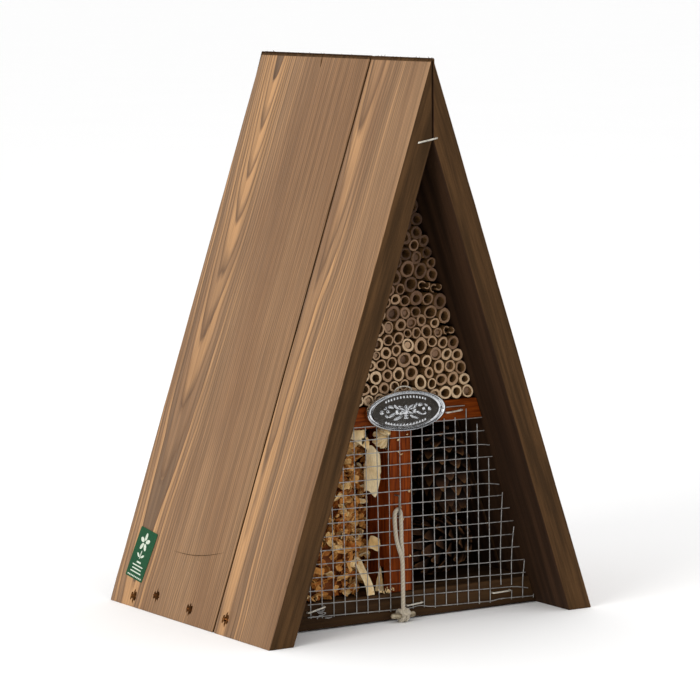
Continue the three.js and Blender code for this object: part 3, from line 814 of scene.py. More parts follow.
def make_ridge_fuzz():
    """Broken fibres along the sawn ridge, thickest over the front plank."""
    rng = random.Random(9)
    shape = Shape()
    for _ in range(RIDGE_FIBRES):
        y = GABLE + 2 + (REAR - GABLE - 4) * rng.random() ** 1.7
        x = rng.uniform(-1.6, 1.6)
        foot = np.array([x, y, RIDGE - 0.35 - abs(x) * 0.35])
        lean = np.array([rng.uniform(-0.7, 0.7), rng.uniform(-0.9, 0.9), rng.uniform(0.3, 1.0)])
        lean *= rng.uniform(0.6, 1.5)
        shape.add(*tube([foot, foot + lean * 0.6, foot + lean], [rng.uniform(0.12, 0.3), 0.14, 0.03], 4))
    ride_along(shape, "ridge_fibres", DARK_GRAIN_AND_SHADE)


def make_boards():
    dark = rough_wood("base_dark_wood", rgb(48, 31, 16), rgb(72, 50, 28), (0.06, 1.2, 1.6))
    orange = stained_board("stained_shelf", rgb(94, 38, 8), rgb(134, 62, 16), 0)
    red = stained_board("stained_divider", rgb(86, 32, 6), rgb(138, 61, 14), 2)
    panel = rough_wood("back_panel_wood", rgb(84, 60, 38), rgb(128, 96, 64), (1.3, 1.3, 0.05), 0.15)
    for node, material, slot, seed in (("base_board", dark, "dark_wood", 1.0),
                                       ("shelf_board", orange, "stained_wood", 2.0),
                                       ("back_panel", panel, "back_wood", 3.0)):
        low, high = box(node)
        foot, top = high.x, max(inside(high.z) - 0.3, 0.5)
        outline = [(-foot, low.z), (foot, low.z), (top, high.z), (-top, high.z)]
        back = high.y - (NAILS_PROUD if node == "back_panel" else 0)
        board = prism(outline, low.y, back, 0.35, 12, 0.12, seed)
        show(board, f"{node}_grained", [material], [node])
    low, high = DIVIDER_LOW, DIVIDER_HIGH
    outline = [(low.x, low.z), (high.x, low.z), (high.x, high.z), (low.x, high.z)]
    show(prism(outline, low.y, high.y, 0.4, 8, 0.15, 5.0), "divider_board_grained", [red],
         ["divider_board"])


# ---- staples and nails ---------------------------------------------------------------------------
STAPLE_RADIUS = 0.4
STAPLE_TURNS = {"left": -0.2, "middle": -0.08, "right": -0.03, "shelf": -0.08}    # radians
MESH_STAPLE_LEGS = 6.4
RIDGE_STAPLE_HALF = 5.1
RIDGE_STAPLE_LEGS = 6
RIDGE_STAPLE_TURN = -0.17
FOOT_STAPLE_LEGS = 20


def staple_path(centre, half, legs, tilt=0.0, upright=False, back=1):
    """A staple's middle line: leg, crown and leg. It lies across unless upright, and tilt turns it."""
    corner = 0.7
    across = Vector((0, 0, 1)) if upright else Vector((math.cos(tilt), 0, -math.sin(tilt)))
    centre = Vector(centre)
    inward = Vector((0, back, 0))
    bend = [(half - corner, 0), (half - corner * 0.3, corner * 0.3), (half, corner), (half, legs)]
    profile = [(-a, b) for a, b in bend[::-1]] + [(0, -0.05)] + bend
    return curve_through([tuple(centre + across * a + inward * b) for a, b in profile], 3)


def make_staples():
    radius = STAPLE_RADIUS
    for word, turn in STAPLE_TURNS.items():
        low, high = box(f"mesh_staple_{word}")
        middle = ((low.x + high.x) / 2, low.y + radius, (low.z + high.z) / 2)
        path = staple_path(middle, (high.x - low.x) / 2 - radius, MESH_STAPLE_LEGS, turn)
        piece(rod(path, radius, 10), f"staple_{word}", STEEL, [f"mesh_staple_{word}"])
    low, high = LOOP_STAPLE_LOW, LOOP_STAPLE_HIGH
    middle = ((low.x + high.x) / 2, low.y + radius, (low.z + high.z) / 2)
    path = staple_path(middle, (high.z - low.z) / 2 - radius, high.y - low.y - 1, upright=True)
    piece(rod(path, radius, 10), "staple_divider", SHADED_STEEL, ["mesh_staple_divider"])
    for word, back in (("front", 1), ("back", -1)):
        low, high = box(f"ridge_staple_{word}")
        middle = ((low.x + high.x) / 2, low.y + radius if back > 0 else high.y - radius, (low.z + high.z) / 2)
        path = staple_path(middle, RIDGE_STAPLE_HALF, RIDGE_STAPLE_LEGS, RIDGE_STAPLE_TURN, back=back)
        piece(rod(path, radius, 10), f"staple_ridge_{word}", STEEL, [f"ridge_staple_{word}"])
    make_foot_staples()
    make_nails()


def make_foot_staples():
    corner = 0.5
    for side, word in ((-1, "left"), (1, "right")):
        inward = Vector((-side, 0, 0))
        for index in FOOT_STAPLES:
            place, half = staple_place(side, index)
            middle = place + inward * FOOT_STAPLE_WIRE
            profile = [(-half, FOOT_STAPLE_LEGS), (-half, corner), (-half + corner, 0), (0, 0.1),
                       (half - corner, 0), (half, corner), (half, FOOT_STAPLE_LEGS)]
            path = curve_through([tuple(middle + Vector((0, a, 0)) + inward * b) for a, b in profile], 4)
            piece(rod(path, FOOT_STAPLE_WIRE, 8), f"rusty_staple_{word}_{index}", RUST,
                  [f"foot_staple_{word}_{index}"])


def make_nails():
    for index in range(1, 6):
        node = f"back_nail_{index}"
        low, high = box(node)
        x, z = (low.x + high.x) / 2, (low.z + high.z) / 2
        radius = (high.x - low.x) / 2
        y = [low.y] + [high.y - drop for drop in (1.1, 0.7, 0.5, 0.15)] + [high.y]
        widths = [0.5, 0.8, radius * 0.96, radius, radius * 0.86, 0.3]
        nail = rod([(x, place, z) for place in y], widths, 20)
        piece(nail, f"round_nail_{index}", STEEL, [node])


# ---- welded wire ---------------------------------------------------------------------------------
MESH_PITCH = 6.23                             # from one upright wire to the next
ROW_PITCH = 6.205                             # from one level wire to the next on the middle line
ROW_SPREAD = 0.0016                           # how much that grows for each unit to the right
WIRE_RADIUS = 0.22
MESH_COLUMN = 41.8                            # one upright wire's place, which sets the others
MESH_ROW = 4.87                               # height of the lowest level wire on the middle line
MESH_SLANT = -0.0343                          # how the level wires fall to the right
MESH_LEAN = -0.011                            # how the uprights lean for each unit of height
LEAN_FROM = 45
UPRIGHT_Y = MESH_HIGH.y - WIRE_RADIUS
LEVEL_Y = MESH_LOW.y + WIRE_RADIUS - 0.1
MESH_TOP = 92.4
# Right of the middle an upright stops at this share of the height at which it would meet the roof.
CUT_SHARE = 0.92
CUT_GAP = 1.4                                 # level wires stop this far from the roof, more or less
CUT_UNEVEN = 1.0
TALL_UPRIGHT = -1                             # the upright that runs on past the shelf
TALL_TOP = 96
BENT_UPRIGHTS = (2, 3, 4)
TOP_BEND = 1.5                                # how far the tops of these lean towards the roof
CUT_LOW = {2: (4, 9.5), 3: (7.5, 8.5)}        # where a stub stops, and where its upright starts again
LEVEL_ROWS = 14                               # full level wires above the lowest
# The middle staple lifts the lowest wire: place, reach and rise.
STAPLE_PULL = (8, 4, 1.0)
LIFT_FROM = 49                                # from here the lowest wire is bent up
LIFT = 0.75
TOP_ROW_ENDS = (-15, 34)                      # the level wire in front of the shelf is shorter
TANGLE = 11                                   # crumpled ends of wire at the lower left corner


def wavy(start, end, seed, amount=0.16, step=3.2):
    """A nearly straight line between two points, a little uneven as cut wire is."""
    start, end = Vector(start), Vector(end)
    count = max(3, int((end - start).length / step))
    path = []
    for k in range(count + 1):
        place = start.lerp(end, k / count)
        sway = noise.noise_vector(place * 0.05 + Vector((seed, 0, seed * 2)))
        path.append(place + Vector((sway.x, sway.y * 0.5, sway.z)) * amount)
    return path


def bend_end(path, shift, count=2):
    """Moves the last points of a wire's path more and more towards a shift."""
    for k in range(count):
        path[-count + k] += Vector(shift) * ((k + 1) / count) ** 1.5
    return path


def level_at(row, x):
    return MESH_ROW + MESH_SLANT * x + row * (ROW_PITCH + ROW_SPREAD * x)


def upright_at(index, z):
    return MESH_COLUMN + index * MESH_PITCH + MESH_LEAN * (z - LEAN_FROM)


def lowest_wire(x):
    """Height of the lowest level wire, which the middle staple and the bent corner lift."""
    place, reach, rise = STAPLE_PULL
    pulled = rise * math.exp(-((x - place) / reach) ** 2)
    return level_at(0, x) + 0.3 + pulled + LIFT * min(max((x - LIFT_FROM) / 5, 0), 1)


def add_upright(shape, index, rng):
    """One upright wire. Two of them are cut low down, with a loose stub left under the cut."""
    foot = upright_at(index, MESH_ROW)
    bottom = lowest_wire(foot) - rng.uniform(0.3, 1.0)
    share = CUT_SHARE if foot > 0 else 1
    reach = share * (HALF_WIDTH - ACROSS - 0.9 - abs(foot)) / LEAN
    top = TALL_TOP if index == TALL_UPRIGHT else min(MESH_TOP, reach)
    path = wavy((foot, UPRIGHT_Y, bottom), (upright_at(index, top), UPRIGHT_Y, top), index)
    if index in BENT_UPRIGHTS:
        bend_end(path, (TOP_BEND, 0, 0), len(path) // 2)
    if index in (0, 3):
        bend_end(path, (rng.uniform(-0.5, 0.5), -0.4, 0))
    for place in path:
        place.x = min(place.x, inside(place.z) - 0.5)
    if index not in CUT_LOW:
        add_wire(shape, path)
        return
    low, high = CUT_LOW[index]
    add_wire(shape, [p for p in path if p.z > high - 0.6])
    stub = wavy((foot - 0.2, UPRIGHT_Y, bottom), (foot + 0.3 - 0.6 * (index - 2), LEVEL_Y, low), index + 40)
    add_wire(shape, stub)


def add_level(shape, row, rng):
    left = -min(inside(level_at(row, 0)) - 0.9, -MESH_LOW.x)
    right = inside(level_at(row, inside(level_at(row, 0)))) - CUT_GAP + rng.uniform(-1, 1) * CUT_UNEVEN
    path = wavy((left, LEVEL_Y, level_at(row, left)), (right, LEVEL_Y, level_at(row, right)), 60 + row)
    if row in (1, 9):
        bend_end(path, (-0.4, 0, -1.3 if row == 1 else -0.9), 3)
    if row == 12:
        bend_end(path, (0, -0.2, -0.7))
    add_wire(shape, path)


def make_mesh():
    rng = random.Random(12)
    shape = Shape()
    first = math.ceil((MESH_LOW.x + 0.4 - MESH_COLUMN) / MESH_PITCH)
    for index in range(first, 6):
        add_upright(shape, index, rng)
    add_wire(shape, [(x, LEVEL_Y, lowest_wire(x)) for x in np.linspace(MESH_LOW.x, inside(4) - 1.2, 70)])
    for row in range(1, LEVEL_ROWS + 1):
        add_level(shape, row, rng)
    left, right = ((x, LEVEL_Y, level_at(LEVEL_ROWS + 1, x)) for x in TOP_ROW_ENDS)
    add_wire(shape, wavy(left, right, 90))
    for _ in range(TANGLE):
        foot = Vector((-51.5 + 8.5 * rng.random(), MESH_LOW.y - 0.4 - 1.6 * rng.random(),
                       6.0 + 4.2 * rng.random()))
        lean = Vector((rng.uniform(1.6, 4.2), rng.uniform(-0.8, 0.6), rng.uniform(-1.5, 1.7)))
        add_wire(shape, [foot, foot + lean * 0.5 + Vector((0, 0, rng.uniform(-0.5, 0.5))), foot + lean])
    piece(shape, "welded_wire", GALVANISED, ["wire_mesh"])


def add_wire(shape, path):
    shape.add(*tube([tuple(p) for p in path], WIRE_RADIUS, 8))


# ---- plaque and label ----------------------------------------------------------------------------
PLAQUE_LOW, PLAQUE_HIGH = box("oval_plaque")
PLAQUE_X = (PLAQUE_LOW.x + PLAQUE_HIGH.x) / 2
PLAQUE_Z = (PLAQUE_LOW.z + PLAQUE_HIGH.z) / 2
PLAQUE_WIDE = (PLAQUE_HIGH.x - PLAQUE_LOW.x) / 2
PLAQUE_TALL = (PLAQUE_HIGH.z - PLAQUE_LOW.z) / 2
LOOP_WIRE = 0.35                              # radius of the wire loop over the plaque
FIELD = 0.84                                  # the relief lies inside this share of the plaque
# The plaque's beaded rim: share of the way out from the middle, and height.
RIM = [(0, 1.0), (FIELD, 0.85), (0.865, 1.2), (0.885, 1.38), (0.905, 1.2), (0.925, 0.95), (0.94, 1.5),
       (0.965, 1.95), (0.985, 1.85), (0.997, 1.45), (1.0, 0.9)]


def dome(x, z, centre, size, turn=0.0, height=0.5):
    """Height of an elliptical bump over a grid of points."""
    a = math.radians(turn)
    u = (x - centre[0]) * math.cos(a) + (z - centre[1]) * math.sin(a)
    v = (z - centre[1]) * math.cos(a) - (x - centre[0]) * math.sin(a)
    return height * np.sqrt(np.clip(1 - (u / size[0]) ** 2 - (v / size[1]) ** 2, 0, None))


# One side of the plaque's relief: place, half sizes and turn in degrees of each raised leaf or berry.
SPRIG = [((5.0, 1.9), (1.9, 0.6), 38), ((8.2, 2.3), (1.5, 0.65), 8), ((9.9, 0.4), (0.75, 0.7), 0),
         ((7.7, -1.5), (1.9, 0.6), -24), ((4.4, -3.0), (2.4, 0.6), -18), ((13.2, 0.1), (1.0, 0.85), 0),
         ((4.8, -0.4), (1.1, 0.75), 60), ((11.2, 1.9), (0.9, 0.45), -30), ((10.6, -1.9), (0.9, 0.45), 30)]


def relief(x, z):
    """A bee between two leafy sprigs, with an arc of beads over it and another under it."""
    bumps = [dome(x, z, (0, 0.3 - k * 1.15), (1.35 - 0.12 * k, 0.62), 0, 0.8) for k in range(4)]
    bumps.append(dome(x, z, (0, 1.7), (0.85, 0.8), 0, 0.8))
    for side in (-1, 1):
        bumps.append(dome(x, z, (side * 2.5, 1.4), (1.9, 0.8), side * 26, 0.65))
        bumps.append(dome(x, z, (side * 2.1, -0.6), (1.5, 0.65), side * -18, 0.55))
        for (across, up), size, turn in SPRIG:
            bumps.append(dome(x, z, (side * across, up), size, side * turn, 0.8))
        for k in range(14):
            a = math.radians(48 + 84 * k / 13)
            where = (0.74 * PLAQUE_WIDE * math.cos(a), side * 0.69 * PLAQUE_TALL * math.sin(a))
            bumps.append(dome(x, z, where, (0.42, 0.5), 0, 0.42))
    return np.max(bumps, axis=0)


def make_plaque():
    rows, columns = 110, 320
    share = np.sqrt(np.linspace(0.0002, 1, rows))[:, None]
    angle = (np.arange(columns) * TAU / columns)[None, :]
    x = PLAQUE_WIDE * share * np.cos(angle)
    z = PLAQUE_TALL * share * np.sin(angle)
    height = np.interp(share, *zip(*RIM)) + 0.3 * np.clip(1 - (share / FIELD) ** 2, 0, 1)
    height = height + relief(x, z) * (share < FIELD - 0.01)
    back = PLAQUE_HIGH.y
    front = np.stack([x + PLAQUE_X, back - height, z + PLAQUE_Z], axis=2)
    rim = np.stack([x[-1:] + PLAQUE_X, np.full((1, columns), back), z[-1:] + PLAQUE_Z], axis=2)
    points = np.concatenate([front, rim]).reshape(-1, 3)
    faces = grid_faces(rows + 1, columns, wrap=True)
    faces.append(tuple(range(columns)))
    faces.append(tuple(rows * columns + k for k in range(columns))[::-1])
    shape = Shape()
    shape.add(points, faces)
    piece(shape, "embossed_plaque", CHROME, ["oval_plaque"], sharp=70)
    low, high = box("plaque_loop")
    half, tall = (high.x - low.x) / 2 - LOOP_WIRE, high.z - low.z - LOOP_WIRE
    path = [((low.x + high.x) / 2 - half * math.cos(a), (low.y + high.y) / 2,
             low.z + tall * math.sin(a) ** 0.7) for a in (math.pi * k / 12 for k in range(13))]
    piece(rod(path, LOOP_WIRE, 8), "plaque_wire_loop", STEEL, ["plaque_loop"])


def on_slope(side, out, y, along):
    """The point this far out of a roof slope, at depth y, this far up the slope."""
    local = Vector((out, side * y, along))
    turned = slope_frame(side).to_3x3() @ local
    return (side * HALF_WIDTH + turned.x, turned.y, turned.z)


def flat_on_slope(shape, outline, out0, out1):
    """A thin flat shape on the left slope, from its outline as (depth, distance up the slope)."""
    points = [on_slope(-1, out, y, s) for out in (out0, out1) for y, s in outline]
    shape.add(points, closed_grid(2, len(outline)))


def rounded_box(y0, y1, s0, s1, corner, steps=5):
    """Outline of a rectangle with round corners."""
    outline = []
    for cy, cs, start in ((y1 - corner, s1 - corner, 0), (y0 + corner, s1 - corner, 90),
                          (y0 + corner, s0 + corner, 180), (y1 - corner, s0 + corner, 270)):
        for k in range(steps):
            a = math.radians(start + 90 * k / (steps - 1))
            outline.append((cy + corner * math.cos(a), cs + corner * math.sin(a)))
    return outline


def oval(cy, cs, wide, tall, turn, count=14):
    a = math.radians(turn)
    return [(cy + wide * math.cos(t) * math.cos(a) - tall * math.sin(t) * math.sin(a),
             cs + wide * math.cos(t) * math.sin(a) + tall * math.sin(t) * math.cos(a))
            for t in (TAU * k / count for k in range(count))]


LABEL_WIDE = 16.7
LABEL_LONG = 24.4
LABEL_TURN = 0.118                            # radians the label is turned on the slope
PAPER = (0.08, 0.24)                          # where the paper lies over the slope's face
INK = (0.24, 0.27)                            # and where the print lies
FLOWER = (0.6, 5.8)                           # middle of the printed flower
# Half width and height of each printed bar, from the top.
BARS = [(2.0, 0.8), (5.0, 0.55), (4.4, 0.55), (5.2, 0.55)]


def make_label():
    """A green paper label printed with a flower over bars and a row of dashes."""
    low, high = box("green_label")
    centre = ((low.y + high.y) / 2, (low.z + high.z) / 2 / math.cos(SLOPE_ANGLE))
    turn = (math.cos(LABEL_TURN), math.sin(LABEL_TURN))

    def lay(shape, outline, layer):
        placed = [(centre[0] + u * turn[0] - v * turn[1], centre[1] + u * turn[1] + v * turn[0])
                  for u, v in outline]
        flat_on_slope(shape, placed, *layer)

    paper = Shape()
    half, tall = LABEL_WIDE / 2, LABEL_LONG / 2
    lay(paper, rounded_box(-half, half, -tall, tall, 0.7), PAPER)
    green = printed_paper("label_green", rgb(6, 60, 32), rgb(16, 78, 44))
    piece(paper, "paper_label", green, ["green_label"])
    ink = Shape()
    x, z = FLOWER
    for k in range(5):
        a = math.radians(90 + 72 * k)
        petal = oval(x + 2.7 * math.cos(a), z + 2.7 * math.sin(a), 1.9, 1.05, math.degrees(a))
        lay(ink, petal, INK)
    lay(ink, rounded_box(x - 0.3, x + 0.3, -2.4, 1.6, 0.25), INK)
    for side in (-1, 1):
        lay(ink, oval(x + 2.0 * side, -0.9, 1.6, 0.6, 28 * side), INK)
    for bar, (width, height) in enumerate(BARS):
        foot = -4.5 - 1.6 * bar
        lay(ink, rounded_box(-width, width, foot, foot + height, 0.2), INK)
    for dash in range(9):
        x = -6.8 + 1.55 * dash
        lay(ink, rounded_box(x, x + 1.0, -11.4, -10.7, 0.2), INK)
    white = printed_paper("label_white", rgb(206, 212, 198), rgb(160, 176, 156))
    ride_along(ink, "label_print", white)


# ---- reeds ---------------------------------------------------------------------------------------
REED_ROWS = 17
REED_ROW_PITCH = 6.3
REED_FLOOR = SHELF_HIGH.z + 0.3
SPLIT_ROWS = (5, 8)                           # the last reed at the right is crushed in these rows


def pack_reeds():
    """Places and radii of reeds dropped into the gable, as rows of x, z and radius."""
    rng = np.random.default_rng(7)
    places = []
    z = REED_FLOOR + 3.2
    while inside(z + 3) > 2.6:
        radii = []
        while sum(radii) * 2 < 2 * inside(z) - 3.0:
            radii.append(float(np.clip(rng.normal(3.12, 0.42), 2.3, 4.1)))
        gap = (2 * inside(z) - 2 * sum(radii)) / (len(radii) + 1)
        x = -inside(z) + gap
        for radius in radii:
            places.append((x + radius, z + rng.uniform(-0.6, 0.6), radius))
            x += 2 * radius + gap
        z += 6.05
    p = np.array(places)
    slope = math.cos(SLOPE_ANGLE)
    for _ in range(500):
        p[:, 1] -= 0.012
        delta = p[:, None, :2] - p[None, :, :2]
        reach = np.hypot(delta[..., 0], delta[..., 1]) + np.eye(len(p)) * 99
        overlap = np.clip(p[:, None, 2] + p[None, :, 2] + 0.12 - reach, 0, None)
        p[:, :2] += (delta / reach[..., None] * overlap[..., None]).sum(1) * 0.42
        wall = HALF_WIDTH - ACROSS - 0.3 - LEAN * p[:, 1] - p[:, 2] / slope
        p[:, 0] = np.clip(p[:, 0], -np.clip(wall, 0, None), np.clip(wall, 0, None))
        p[:, 1] = np.maximum(p[:, 1], REED_FLOOR + p[:, 2])
    delta = p[:, None, :2] - p[None, :, :2]
    reach = np.hypot(delta[..., 0], delta[..., 1]) + np.eye(len(p)) * 99
    spare = (reach - p[:, None, 2] - p[None, :, 2]).min(1)
    p[:, 2] += np.minimum(spare / 2, 0) * 1.02
    return p[(p[:, 2] > 1.6) & (p[:, 1] < box(f"reed_row_{REED_ROWS:02d}")[1].z + 4)]


def reed_section(radius, wall, front, back, sides, rng, arc=TAU, start=0.0):
    """Rows of points from the back of a reed's skin to its cut end and back down its bore."""
    angle = start + np.arange(sides) * (arc / (sides if arc >= TAU else sides - 1))
    squash = 1 + 0.045 * np.cos(2 * (angle - rng.uniform(0, TAU)))
    squash = squash + 0.02 * np.cos(3 * angle + rng.uniform(0, 6))
    squash = squash + rng.uniform(-0.025, 0.025, sides)
    slant = rng.uniform(0, 0.45) * np.cos(angle - rng.uniform(0, TAU)) + rng.uniform(-0.1, 0.1, sides)
    inner = radius - wall * (1 + 0.15 * np.cos(angle - rng.uniform(0, TAU)))
    rows = [(radius, back, 0), (radius, front + 4, 0), (radius * 0.995, front + 0.22, 1),
            (radius - 0.13, front, 1), (inner + 0.1, front + 0.02, 1), (inner - 0.02, front + 0.3, 1),
            (inner * 0.98, front + 3.5, 0), (inner * 0.98, back, 0)]
    return np.array([np.stack([squash * r * np.cos(angle), y + slant * near, squash * r * np.sin(angle)], 1)
                     for r, y, near in ((np.broadcast_to(r, sides), y, near) for r, y, near in rows)])


def wall_faces(rows, sides, spans):
    """Quads between rows of points, with the last row joined to the first, over this many spans."""
    return [(i * sides + j, i * sides + (j + 1) % sides, (i + 1) % rows * sides + (j + 1) % sides,
             (i + 1) % rows * sides + j) for i in range(rows) for j in range(spans)]


def add_reed(shape, x, z, radius, rng):
    sides = 26
    wall = radius * rng.uniform(0.31, 0.47)
    front = FACE + 0.6 + abs(rng.normal(0, 0.4))
    # Tone falls with height above the shelf: painted shade on the upper reeds under the roof, with random
    # variation from reed to reed.
    tone = float(np.clip(0.95 - (z - REED_FLOOR) / 95 + rng.normal(0, 0.13), 0.1, 1.0))
    rows = reed_section(radius, wall, front, PANEL_FACE - 1, sides, rng)
    rows += np.array([x, 0, z])
    faces = wall_faces(len(rows), sides, sides)
    # The tones fall to nothing down the bore: painted shade inside each reed.
    shape.add(rows, faces, np.repeat([tone] * 5 + [tone * 0.6, 0.1, 0.0], sides))
    filled = rng.random()
    if filled < (0.5 if z < REED_FLOOR + 50 else 0.25):
        depth = front + (rng.uniform(0.1, 0.9) if filled < 0.2 else rng.uniform(1.5, 5))
        pith = [(x, depth + k, z) for k in (0, 0.25, 1.5)]
        bore = radius - wall * 1.18
        # A pith set further in gets a lower tone: painted shade in the bore.
        shape.add(*tube(pith, [bore * 0.7, bore, bore], 16), tone * (0.8 if filled < 0.2 else 0.5))


def add_split_reed(shape, x, z, radius, rng):
    """A crushed reed: two curled strips of its wall."""
    for shift, start, arc, size in ((-0.35, 0.6, 3.9, 0.62), (0.5, 3.6, 3.6, 0.5)):
        sides = 16
        rows = reed_section(radius * size, radius * 0.2, FACE + 0.8 + rng.uniform(0, 1), PANEL_FACE - 30,
                            sides, rng, arc, start + rng.uniform(-0.3, 0.3))
        rows += np.array([x + shift * radius, 0, z + shift * radius * rng.uniform(-0.5, 0.5)])
        count = len(rows)
        faces = wall_faces(count, sides, sides - 1)
        faces.append(tuple(i * sides for i in range(count))[::-1])
        faces.append(tuple(i * sides + sides - 1 for i in range(count)))
        shape.add(rows, faces, 0.6)


def make_reeds():
    material = cane()
    rng = np.random.default_rng(31)
    reeds = sorted(pack_reeds().tolist(), key=lambda reed: (reed[1], reed[0]))
    groups = [[] for _ in range(REED_ROWS)]
    for reed in reeds:
        row = round((reed[1] - REED_FLOOR - 3) / REED_ROW_PITCH)
        groups[min(max(row, 0), REED_ROWS - 1)].append(reed)
    for row, group in enumerate(groups):
        node = f"reed_row_{row + 1:02d}"
        shape = Shape()
        for x, z, radius in group:
            edge = inside(z) - x < radius * 3
            if edge and row in SPLIT_ROWS and x > 0:
                add_split_reed(shape, x, z, radius, rng)
            else:
                add_reed(shape, x, z, radius, rng)
        if shape.count:
            piece(shape, f"reeds_{row + 1:02d}", material, [node], sharp=50)
        else:
            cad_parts[node].data.materials.clear()
            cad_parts[node].data.materials.append(material)


# ---- wood shavings -------------------------------------------------------------------------------
SHAVINGS_FRONT = MESH_HIGH.y + 0.5
SHAVINGS_RIGHT = DIVIDER_LOW.x - 0.4
SHAVINGS_FALL = 21                            # the shavings fall back over this width by the divider
SHAVINGS_BACK = 18                            # and by this much
CURLS = 820
STAR_RAYS = 15                                # the pale cluster under the shelf
STAR = (-6.5, 86)                             # its middle in X and Z
# Crumbs caught on the divider's front, in X and Z.
DIVIDER_CRUMBS = [(-3.2, 79), (-1.9, 77.6), (2.6, 60), (-0.6, 47.5), (3.0, 30), (-3.4, 84.5), (1.5, 86.5),
                  (-2.5, 53)]


def shavings_front(x):
    share = np.clip((x - (SHAVINGS_RIGHT - SHAVINGS_FALL)) / SHAVINGS_FALL, 0, 1)
    return SHAVINGS_FRONT + SHAVINGS_BACK * share


def keep_in(points, nearest=0.0):
    """Presses points inside the left compartment; nearest lets them come forward of the wire."""
    x, y, z = points[:, 0], points[:, 1], points[:, 2]
    z = np.clip(z, BASE_HIGH.z + 0.4, SHELF_LOW.z - 0.4)
    x = np.clip(x, -(HALF_WIDTH - ACROSS - 0.5 - LEAN * z), SHAVINGS_RIGHT)
    return np.stack([x, np.maximum(y, SHAVINGS_FRONT - nearest), z], 1)


def add_curl(shape, rng, centre, axis, radius, arc, width, tone, ruffle=0.4, nearest=0.0, grow=0.35,
             facing=None):
    """A thin curled ribbon of wood round an axis, its ends drawn to ragged points. Its outside is turned
    to face a direction, or at random."""
    steps, across = 18, 5
    axis = np.array(axis, float) / np.linalg.norm(axis)
    first = np.cross(axis, rng.normal(size=3)) if facing is None else facing - axis * (facing @ axis)
    first /= np.linalg.norm(first)
    second = np.cross(axis, first)
    t = np.linspace(0, 1, steps)[:, None]
    v = np.linspace(-0.5, 0.5, across)[None, :]
    turn = arc * (t - 0.5)
    reach = radius * (1 + grow * t) + ruffle * np.sin(t * rng.uniform(8, 15) + v * 7 + rng.uniform(0, 6))
    taper = np.clip(np.sin(math.pi * np.clip(t * 0.94 + 0.04, 0, 1)) * 2.2, 0.15, 1)
    side = v * width * taper + rng.uniform(-0.25, 0.25) * width * np.sin(t * 5)
    grid = (np.asarray(centre) + axis * side[..., None] + first * (reach * np.cos(turn))[..., None]
            + second * (reach * np.sin(turn))[..., None] - first * radius)
    out = first * np.cos(turn)[..., None] + second * np.sin(turn)[..., None]
    thick = 0.11
    loop = np.concatenate([grid + out * thick, (grid - out * thick)[:, ::-1]], axis=1)
    faces = closed_grid(steps, across * 2)
    edge = np.abs(np.concatenate([v, v[:, ::-1]], axis=1)) * np.ones((steps, 1))
    tones = np.clip(tone + (edge - 0.25) * 0.25 + rng.normal(0, 0.03), 0, 1)
    shape.add(keep_in(loop.reshape(-1, 3), nearest), faces, tones.reshape(-1))


TO_FRONT = np.array([-0.3, -1.0, 0.1])
# Pale pieces that stand out: place, axis, radius, arc in radians, width, tone.
PALE_PIECES = [
    ((-24, FACE + 3.5, 91), (0.2, 0, 1), 11, 0.85, 12, 0.95),
    ((-21, FACE + 5, 86), (-0.3, 0, 1), 8, 0.7, 9, 0.9),
    ((-13.8, FACE + 6, 70), (0.1, 0, 1), 7, 0.9, 21, 0.98),
    ((-20, FACE + 7, 21), (1, 0.2, 0), 26, 0.75, 4.6, 1.0),
    ((-12, FACE + 7, 36), (0.2, 0, 1), 3.5, 1.5, 6, 0.85),
    ((-7, FACE + 8, 19), (0.3, 0, 1), 6, 0.7, 12, 0.9),
]


def shavings_heart():
    """The closed lumpy block behind the curls, in the darkest tone as painted shade."""
    rows, columns = 26, 30
    points = []
    for i in range(rows):
        z = BASE_HIGH.z + 0.5 + (SHELF_LOW.z - BASE_HIGH.z - 1.0) * i / (rows - 1)
        for j in range(columns):
            x = -inside(z) + 0.6 + (SHAVINGS_RIGHT + inside(z) - 0.6) * j / (columns - 1)
            lump = noise.noise(Vector((x, z, 3.0)) * 0.22) * 2.6
            points.append((x, shavings_front(x) + 8.0 + lump, z))
    count = len(points)
    points += [(x, PANEL_FACE - 4, z) for x, _, z in points]
    faces = grid_faces(rows, columns)
    faces += [tuple(count + i for i in face[::-1]) for face in grid_faces(rows, columns)]
    border = list(range(columns)) + [columns * (i + 1) - 1 for i in range(1, rows)]
    border += [rows * columns - 2 - j for j in range(columns - 1)]
    border += [columns * (rows - 1 - i) for i in range(1, rows - 1)]
    faces += [(b, a, count + a, count + b) for a, b in zip(border, border[1:] + border[:1])]
    shape = Shape()
    shape.add(points, faces, 0.06)
    return shape


def shavings_heap(rng):
    """The curls, darker the further back they lie: painted shade deep in the heap."""
    shape = Shape()
    for _ in range(CURLS):
        z = rng.uniform(BASE_HIGH.z + 1, SHELF_LOW.z - 2)
        x = rng.uniform(-inside(z) + 1, SHAVINGS_RIGHT - 1)
        layer = rng.random()
        y = shavings_front(x) + 1.2 + layer * 8.5
        # Tone falls with depth in the heap as painted shade, with random variation.
        tone = 0.68 - 0.45 * layer + rng.normal(0, 0.16)
        add_curl(shape, rng, (x, y, z), rng.normal(size=3) * (1, 0.5, 1.4), rng.uniform(1.3, 4.0),
                 rng.uniform(0.9, 2.6), rng.uniform(1.3, 3.8), tone, rng.uniform(0.1, 0.35))
    return shape


